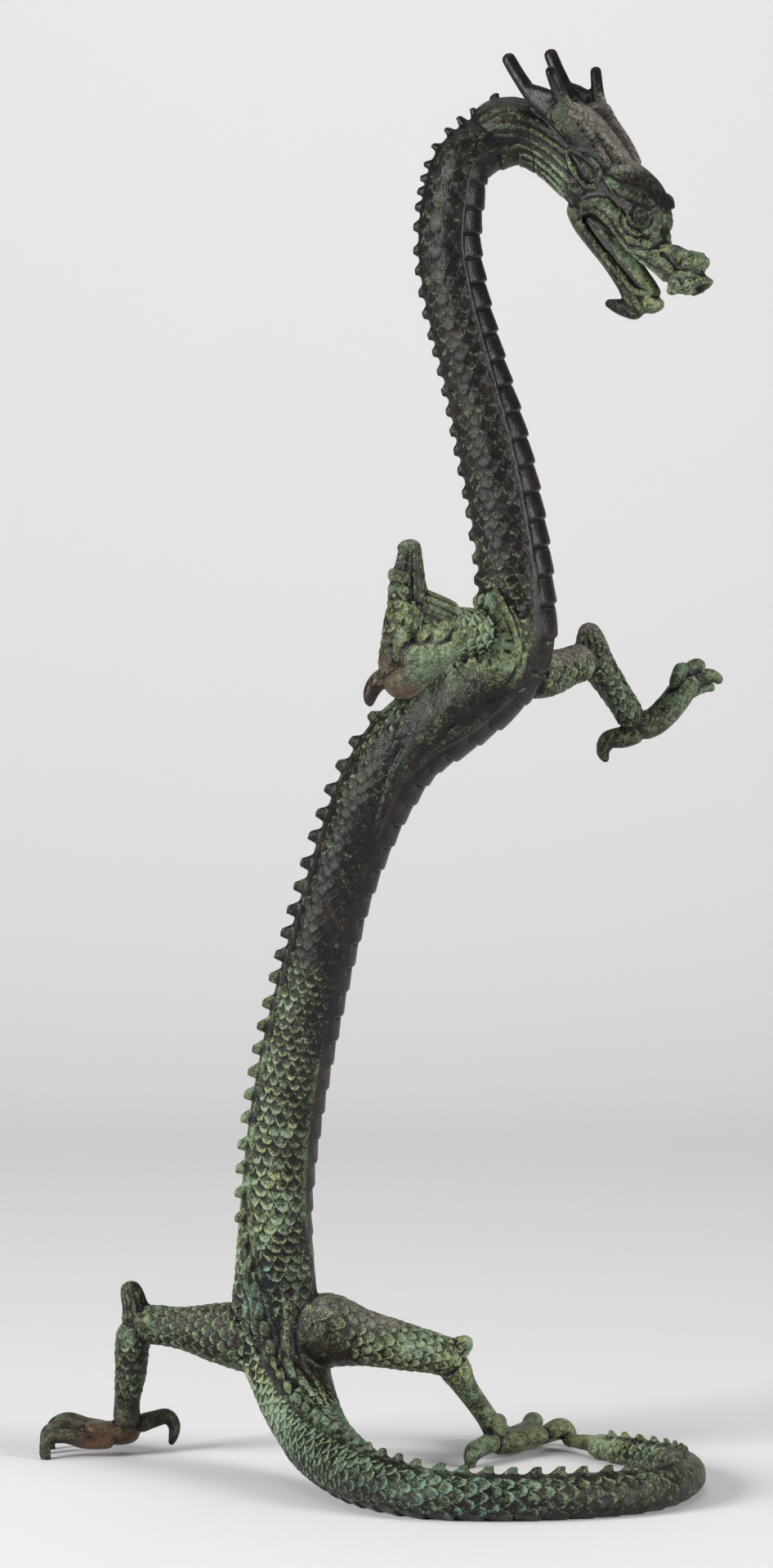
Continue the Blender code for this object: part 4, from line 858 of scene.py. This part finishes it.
def keep(name, values):
    """Values kept at the mesh's corners, for the patina to read."""
    layer = skin.attributes.new(name, "FLOAT", "POINT")
    layer.data.foreach_set("value", values.astype(np.float32))


rows, across, share = scaled(spots)
keep("rows", rows)
keep("across", across)
keep("scaled", share)
close, wide = eased(spots, 3), eased(spots, 24)
keep("hollow", ((close - spots) * normals).sum(axis=1) / 0.12)
keep("sunken", ((wide - spots) * normals).sum(axis=1) / 0.8)
along, angle, girth, over = on_roll(spots, BODY)
turn = np.abs(angle)
first = plates_from(along)
on_skin = (1 - smooth_step(1.2, 2.4, np.abs(over))) * smooth_step(50, 70, along)
before_hips = 1 - smooth_step(560, 600, along)
keep("upward", normals[:, 2])
keep("plates", along / PLATE_PITCH)
keep("plated", smooth_step(first, first + 0.04, turn) * on_skin * before_hips)
keep("belly", smooth_step(1.95, 2.1, turn) * on_skin * before_hips)
beside_ledge = np.exp(-((turn - BELLY_EDGE) * girth / 0.8) ** 2)
keep("ledge", beside_ledge * on_skin * (1 - smooth_step(300, 480, along)))
beside_band = np.exp(-((turn - BAND_SIDE[1]) * girth / 0.9) ** 2)
keep("band", beside_band * on_skin * (1 - smooth_step(520, 560, along)))

# Place, reach, and how much green, turquoise, dust and bare metal there is, up from 0
PATINA = [
    (34, 0, 486, 18, 0.22, 0.1, 0.2, 0.08), (22, 0, 443, 22, 0.24, 0.14, 0.05, 0.05),
    (33, 0, 390, 26, 0.28, 0.16, 0, 0.08), (44, 0, 345, 20, 0.3, 0.2, 0, 0.05),
    (50, 0, 312, 14, 0.34, 0.22, 0, 0.1), (36, -14, 304, 14, 0.9, 0.15, 0.55, 0),
    (19, 6, 275, 20, 0.34, 0.15, 0.05, 0), (34, -8, 285, 10, 0.08, 0.05, 0.05, 0.05),
    (-9, 12, 241, 20, 0.26, 0.12, 0, 0.1), (-21, 18, 212, 20, 0.25, 0.14, 0, 0.1),
    (-42, 26, 168, 16, 0.6, 0.12, 0, 0), (-21, 26, 168, 14, 0.34, 0.05, 0, 0.08),
    (-50, 32, 125, 18, 0.72, 0.32, 0.1, 0.05), (-24, 28, 140, 13, 0.56, 0.05, 0.75, 0.32),
    (-28, 32, 125, 14, 0.5, 0.05, 0.35, 0.1), (-46, 36, 96, 16, 0.72, 0.12, 0.2, 0),
    (-27, 27, 40, 9, 0.22, 0, 0.2, 0.3), (-28, 38, 85, 12, 0.45, 0.05, 0.6, 0.05),
    (-44, 28, 67, 9, 0.5, 0.6, 0, 0), (-32, 28, 58, 10, 0.45, 0.1, 0.7, 0.05),
    (-42, 25, 27, 14, 0.85, 0.3, 0, 0), (-20, 0, 12, 16, 0.6, 0.4, 0, 0.05),
    (8, -50, 10, 20, 0.5, 0.42, 0, 0.1), (36, -61, 8, 18, 0.5, 0.46, 0.05, 0.05),
    (64, -57, 8, 20, 0.42, 0.2, 0.1, 0.2), (92, -42, 7, 18, 0.36, 0.1, 0.1, 0.35),
    (106, 5, 6, 18, 0.4, 0.05, 0.15, 0.4), (98, 36, 5, 14, 0.6, 0.2, 0.2, 0.05),
    (76, 69, 5, 16, 0.7, 0.05, 0.2, 0.1), (0, 38, 58, 10, 0.55, 0.05, 0.85, 0),
    (5, 36, 37, 12, 0.8, 0.05, 0.1, 0), (28, 46, 42, 9, 0.75, 0.2, 0.1, 0),
    (33, 55, 23, 10, 0.6, 0.15, 0, 0), (50, 75, 7, 20, 0.62, 0.05, 0.15, 0.1),
    (-70, 52, 52, 18, 0.56, 0.26, 0.55, 0.2), (-93, 63, 57, 9, 0.5, 0.1, 0.2, 0),
    (-95, 68, 30, 14, 0.52, 0.3, 0, 0), (-105, 74, 8, 12, 0.3, 0.05, 0.4, 0.75),
    (-122, 72, 6, 12, 0.35, 0.2, 0.15, 0.35), (8, -40, 336, 11, 0.52, 0.3, 0.75, 0.05),
    (10, -38, 315, 12, 0.6, 0.08, 0.2, 0.08), (16, -60, 304, 10, 0.66, 0.12, 0.45, 0.12),
    (6, -54, 291, 10, 0.4, 0.05, 0.2, 0.6), (-5, -48, 284, 6, 0.1, 0, 0, 0.42),
    (62, 25, 293, 14, 0.56, 0.08, 1, 0), (73, 35, 306, 9, 0.44, 0.05, 0.85, 0),
    (82, 40, 283, 11, 0.52, 0.2, 0.6, 0), (108, 50, 288, 12, 0.6, 0.3, 0.2, 0.1),
    (98, 47, 271, 9, 0.45, 0.2, 0.2, 0.45), (80, 46, 262, 7, 0.45, 0.05, 0, 0.1),
    (22, -12, 300, 10, 0.65, 0.15, 0.3, 0), (82, -5, 481, 8, 0.3, 0.05, 1, 0.05),
    (77, -1, 488, 7, 0.6, 0.1, 0.7, 0.05),
]
# The same on the head, forward, left and up, alike on both sides
HEAD_PATINA = [
    (44, 5, -5, 9, 0.62, 0.15, 0.05, 0.12), (31, 2, 0, 6, 0.6, 0.3, 0, 0),
    (16, 8, -6, 8, 0.66, 0.08, 0, 0), (22, 8, 3, 4, 0.42, 0.3, 0, 0), (8, 9, 4, 5, 0.55, 0.5, 0, 0),
    (19, 3, 12, 7, 0.2, 0.1, 0.35, 0.15), (-8, 0, 19, 11, 0.35, 0.05, 1.3, 0),
    (-20, 0, 23, 12, 0.5, 0.05, 1.2, 0), (-42, 12, 24, 12, 0, 0, 0, 0.15),
    (-29, 14, 30, 7, 0, 0.06, 0, 0.2), (-24, 11, 19, 5, 0.45, 0.1, 0.15, 0.05),
    (-10, 12, 15, 6, 0.16, 0.22, 0, 0.1), (10, 7, -15, 9, 0.42, 0.15, 0.25, 0.05),
    (31, 0, -20, 7, 0.7, 0.05, 0.1, 0.15), (24, 0, -32, 8, 0.3, 0.1, 0.1, 0.2),
    (-15, 10, 3, 10, 0.72, 0.08, 0, 0), (-36, 10, 5, 12, 0.55, 0.08, 0.25, 0.05),
    (51, 0, -8, 7, 0.62, 0.12, 0, 0.12), (-4, 9, -1, 4, 0.15, 0.25, 0, 0),
    (12, 4, -14, 6, 0.4, 0.1, 0, 0.3),
]
patches = list(PATINA)
head_place = Matrix.Translation(Vector(HEAD_PLACE)) @ head_turn()
for ahead, left, up, reach, *amounts in HEAD_PATINA:
    for side in (left, -left):
        patches.append(tuple(head_place @ Vector((ahead, side, up))) + (reach, *amounts))
patches = np.array(patches)
# What has grown away from all patches, and how little it weighs beside them
ELSEWHERE = np.array([0.40, 0.12, 0.12, 0.05])
ELSEWHERE_WEIGHT = 0.03
amounts = np.tile(ELSEWHERE_WEIGHT * ELSEWHERE, (len(spots), 1))
weight = np.full(len(spots), ELSEWHERE_WEIGHT)
for patch in patches:
    pull = np.exp(-((spots - patch[:3]) ** 2).sum(axis=1) / patch[3] ** 2)
    amounts += pull[:, None] * patch[4:]
    weight += pull
amounts /= weight[:, None]
# Greener beside the crest, and the eyes nearly bare
amounts[:, 0] += 0.16 * on_skin * (0.55 - smooth_step(0.5, 1.7, turn))
for side in (1, -1):
    eye = np.array(head_place @ Vector((EYE[0], side * EYE[1], EYE[2])))
    amounts *= 1 - 0.8 * np.exp(-((spots - eye) ** 2).sum(axis=1)[:, None] / EYE_BALL ** 2)
for name, values in zip(("green", "turquoise", "dust", "rubbed"), amounts.T):
    keep(name, values)


# The patina, painted over the whole casting: dark brown bronze, olive and turquoise verdigris on
# the rims and in the hollows, grey dust on top, and bare metal where it is rubbed. Painted shade darkens
# the pits, the scales' roots and the plates' joints, and a painted highlight lies on the plates' edges.
class Coat:
    """One value of the patina on its way to the bronze, with its sums as Python expressions."""

    def __init__(self, tree, socket):
        self.tree = tree
        self.socket = socket

    def node(self, kind, inputs, out=0, **settings):
        """A node, its settings, then the values or links of its sockets."""
        made = self.tree.nodes.new(kind)
        for name, value in settings.items():
            setattr(made, name, value)
        for name, value in inputs.items():
            if isinstance(value, Coat):
                self.tree.links.new(value.socket, made.inputs[name])
            else:
                made.inputs[name].default_value = value
        return Coat(self.tree, made.outputs[out])

    def sum(self, operation, first, second=0.0, clamp=False):
        """One sum on one or two values."""
        return self.node("ShaderNodeMath", {0: first, 1: second}, operation=operation,
                         use_clamp=clamp)

    def __add__(self, other):
        return self.sum("ADD", self, other)

    __radd__ = __add__

    def __sub__(self, other):
        return self.sum("SUBTRACT", self, other)

    def __rsub__(self, other):
        return self.sum("SUBTRACT", other, self)

    def __mul__(self, other):
        return self.sum("MULTIPLY", self, other)

    __rmul__ = __mul__

    def __truediv__(self, other):
        return self.sum("DIVIDE", self, other)

    def __rtruediv__(self, other):
        return self.sum("DIVIDE", other, self)

    def __pow__(self, other):
        return self.sum("POWER", self, other)

    def __rpow__(self, other):
        return self.sum("POWER", other, self)

    def step(self, low, high):
        """The same smooth step, in the shader."""
        return self.node("ShaderNodeMapRange", {"Value": self, "From Min": low, "From Max": high},
                         interpolation_type="SMOOTHSTEP")

    def coloured(self, under, over):
        """The colour under, or over where this is 1."""
        return self.node("ShaderNodeMix", {0: self, 6: under, 7: over}, out=2, data_type="RGBA")


bronze = bpy.data.materials.new("verdigris_bronze")
bronze.use_nodes = True
tree = bronze.node_tree
shader = tree.nodes["Principled BSDF"]
paint = Coat(tree, None)
place = paint.node("ShaderNodeTexCoord", {}, out=3)


def kept(name):
    """A value that was kept at the mesh's corners."""
    return paint.node("ShaderNodeAttribute", {}, out=2, attribute_name=name)


def mottle(size, detail=3.0, rough=0.6, shift=0.0):
    """Uneven growth, from about -1 to 1, with spots of a size in millimetres."""
    growth = paint.node("ShaderNodeTexNoise", {"Vector": place, "W": shift, "Scale": 1 / (size * MM),
                                               "Detail": detail, "Roughness": rough},
                        noise_dimensions="4D")
    return (growth - 0.5) * 3.0


big, mid = mottle(11), mottle(3, 4)
fine, dots = mottle(0.9, 3, shift=3.0), mottle(0.4, 2, shift=7.0)
other_mid, other_fine = mottle(4, 4, shift=11.0), mottle(0.8, 4, 0.7, shift=17.0)
rows, across = kept("rows") + other_fine * 0.08, kept("across") + fine * 0.05
share, hollow, sunken, belly = kept("scaled"), kept("hollow"), kept("sunken"), kept("belly")
green, turquoise = kept("green"), kept("turquoise")


def shield(back):
    """One of the two rows that lap at a point, as in scale_height."""
    row = paint.sum("FLOOR", rows) - back
    half = paint.sum("PINGPONG", row, 1.0) * 0.5
    aside = across - half
    aside = aside - paint.sum("ROUND", aside)
    reach = paint.sum("MAXIMUM", 1.0 - aside * aside * 4.0, 0.0) ** 0.5 + 1.0
    return rows - row, aside, reach


upper, lower = shield(1.0), shield(0.0)
over = paint.sum("LESS_THAN", upper[0], upper[2])
past = lower[0] + (upper[0] - lower[0]) * over
reach = lower[2] + (upper[2] - lower[2]) * over
left = (reach - past) * 4.0
rim = paint.sum("EXPONENT", left * left * -1.0) * share
swell = (past / reach) * share
root = (1.0 - (past / reach) * 2.6).step(0.0, 1.0) * share

# The joints between the belly's plates, with a painted highlight on the edge beside each
gap = kept("plates") - paint.sum("ROUND", kept("plates"))
joint = paint.sum("EXPONENT", gap * gap * -500.0) * kept("plated")
lit = paint.sum("EXPONENT", (gap - 0.09) * (gap - 0.09) * -300.0) * kept("plated")
edge = paint.sum("MINIMUM", paint.sum("MAXIMUM", hollow * -1.0, 0.0), 1.0)
pit = paint.sum("MAXIMUM", hollow, 0.0)

# Verdigris takes to rims and edges and not to roots and pits, turquoise where water stood. Dust
# settles on what faces up, and metal shows where it is rubbed. The painted highlight on the
# plates' edges is added to the verdigris and to the dust.
speck = fine * 0.38 + dots * 0.44
ridge = rim * (mid * 0.8 + 0.50) + edge * 0.45 + lit * 0.5
grown = (green * (0.83 + ridge * 0.36) + ridge * 0.18 + lit * 0.22 + kept("upward") * 0.07
         - pit * 0.26 - root * 0.22 + mid * 0.30 + big * 0.22 + speck - belly * 0.34)
leaf = grown.step(0.38, 0.80)
bright = grown.step(0.62, 1.26)
blue = (turquoise * 0.90 + rim * 0.15 + edge * 0.1 + other_mid * 0.36 + other_fine * 0.45
        - belly * 0.3).step(0.58, 0.78)
# Dust, with the painted highlight of the plates' edges added in
dust = kept("dust") + kept("band") * 0.30 + lit * 0.35
dust_and_highlight = (dust * kept("upward").step(-0.3, 0.7) * 1.1 + other_fine * 0.3 + dots * 0.2
           + mid * 0.16 - rim * 0.2).step(0.42, 0.95)
rubbed = kept("rubbed") + kept("ledge") * 0.3
worn = (rubbed * 0.85 + edge * 0.10 + other_mid * 0.2 + dots * 0.08 - leaf * 0.35).step(0.42, 0.75)

DARK = (0.006, 0.006, 0.006, 1)
BROWN = (0.040, 0.024, 0.019, 1)
OLIVE = (0.105, 0.115, 0.048, 1)
LEAF = (0.080, 0.120, 0.070, 1)
YELLOW = (0.340, 0.370, 0.150, 1)
PALE = (0.230, 0.310, 0.225, 1)
TURQUOISE = (0.115, 0.255, 0.225, 1)
DUST = (0.250, 0.225, 0.198, 1)
GRIME = (0.055, 0.045, 0.038, 1)
COPPER = (0.190, 0.105, 0.065, 1)
# The near black of the painted shade
SHADE_BLACK = (0.007, 0.007, 0.007, 1)
browned = (big * 0.3 + other_mid * 0.4 + other_fine * 0.2 + kept("rubbed") * 0.6 + 0.22).step(0.1, 1.0)
tint = (big * 0.5 + other_mid * 0.3 + 0.45 + turquoise * 0.6).step(0.1, 0.9)
leaf_colour = bright.coloured(tint.coloured(OLIVE, LEAF), tint.coloured(YELLOW, PALE))
colour = leaf.coloured(browned.coloured(DARK, BROWN), leaf_colour)
colour = (blue * 0.85).coloured(colour, TURQUOISE)
pale = (fine * 0.8 + dots * 0.6 + other_mid * 0.4 + 0.5).step(0.0, 1.0)
colour = (dust_and_highlight * 0.8).coloured(colour, pale.coloured(GRIME, DUST))
colour = (worn * 0.8).coloured(colour, COPPER)
# Painted shade: near black laid into the pits, at the scales' roots, along the plates' joints and in the
# sunken hollows
shade = (pit * 0.34 + joint * 0.8 + root * 0.5 + sunken.step(0.3, 1.6) * 0.2).step(0.0, 1.0) * 0.8
colour = shade.coloured(colour, SHADE_BLACK)
tree.links.new(colour.socket, shader.inputs["Base Color"])
rough = leaf * 0.32 + blue * 0.2 + dust_and_highlight * 0.32 + fine * 0.14 + 0.31
rough = paint.sum("ADD", rough - worn * 0.06, 0.0, clamp=True)
tree.links.new(rough.socket, shader.inputs["Roughness"])
tree.links.new((worn * 0.6).socket, shader.inputs["Metallic"])
shader.inputs["Specular IOR Level"].default_value = 0.20
height = (swell * 0.18 + rim * 0.14 - root * 0.08 - joint * 0.3 + leaf * 0.05 + mid * 0.07
          + (fine * 0.08 + dots * 0.06) * (green * 0.7 + 0.4))
raised = paint.node("ShaderNodeBump", {"Height": height * MM, "Distance": 1.0, "Strength": 1.0})
tree.links.new(raised.socket, shader.inputs["Normal"])
casting.data.materials.clear()
casting.data.materials.append(bronze)
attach(casting, "root")
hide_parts("dragon")

# The studio: a pale paper sweep under and behind the piece, soft lights over both shoulders of
# the camera, one above and one on the paper behind, and the camera where the photograph was
# taken. The paper's bend has a radius of one metre, and it narrows as it rises.
FLOOR_FRONT = -1.4
FLOOR_RUN = 2.5
PAPER_RUN = 4.4
FLOOR_WIDTH = 4
PAPER_NARROWS = 3.3
bm = bmesh.new()
bmesh.ops.create_grid(bm, x_segments=2, y_segments=60, size=1.0)
for vert in bm.verts:
    run = (vert.co.y + 1) * PAPER_RUN / 2
    turn = min(max(run - FLOOR_RUN, 0.0), math.pi / 2)
    rise = max(run - FLOOR_RUN - math.pi / 2, 0.0)
    vert.co = (vert.co.x * (FLOOR_WIDTH - PAPER_NARROWS * math.sin(turn)),
               min(run, FLOOR_RUN) + FLOOR_FRONT + math.sin(turn), 1 - math.cos(turn) + rise)
paper = bpy.data.meshes.new("paper_sweep")
bm.to_mesh(paper)
bm.free()
paper.shade_smooth()
sweep = bpy.data.objects.new("paper_sweep", paper)
bpy.context.scene.collection.objects.link(sweep)
matt = bpy.data.materials.new("pale_paper")
matt.use_nodes = True
matt_shader = matt.node_tree.nodes["Principled BSDF"]
matt_shader.inputs["Base Color"].default_value = (0.75, 0.737, 0.737, 1)
matt_shader.inputs["Roughness"].default_value = 0.9
paper.materials.append(matt)

# Where each light stands and aims, in metres, its size and its power in watts
DRAGON_MIDDLE = (0, 0, 0.25)
SOFT_BOXES = [("left_box", (-1.6, -1.0, 0.8), DRAGON_MIDDLE, 0.8, 55),
              ("right_box", (1.7, -1.0, 0.65), DRAGON_MIDDLE, 0.8, 43),
              ("top_box", (0.1, 0.2, 2.1), DRAGON_MIDDLE, 1.2, 7),
              ("back_box", (0, 0.9, 1.4), (0, 1.75, 0.2), 1.0, 4)]
for name, spot, aim, size, power in SOFT_BOXES:
    lamp = bpy.data.lights.new(name, "AREA")
    lamp.size = size
    lamp.energy = power
    light = bpy.data.objects.new(name, lamp)
    light.location = spot
    light.rotation_euler = (Vector(aim) - Vector(spot)).to_track_quat("-Z", "Y").to_euler()
    bpy.context.scene.collection.objects.link(light)
world = bpy.data.worlds.new("studio")
world.use_nodes = True
room = world.node_tree.nodes["Background"]
room.inputs["Color"].default_value = (0.98, 0.98, 1.0, 1)
room.inputs["Strength"].default_value = 0.12
bpy.context.scene.world = world
bpy.context.scene.view_settings.view_transform = "Standard"

# A long lens two metres in front, tipped down a little; its place is in the body's millimetres
LENS = 129.75
CAMERA_PLACE = (0.0, -2000.0, 350.0)
CAMERA_TIP = 2.8
camera = bpy.data.objects.new("camera", bpy.data.cameras.new("camera"))
camera.data.lens = LENS
camera.data.sensor_width = 36
camera.location = Vector(CAMERA_PLACE) * MM + Vector(OVER_ORIGIN) * MM
camera.rotation_euler = (math.radians(90 - CAMERA_TIP), 0, 0)
bpy.context.scene.collection.objects.link(camera)
bpy.context.scene.camera = camera
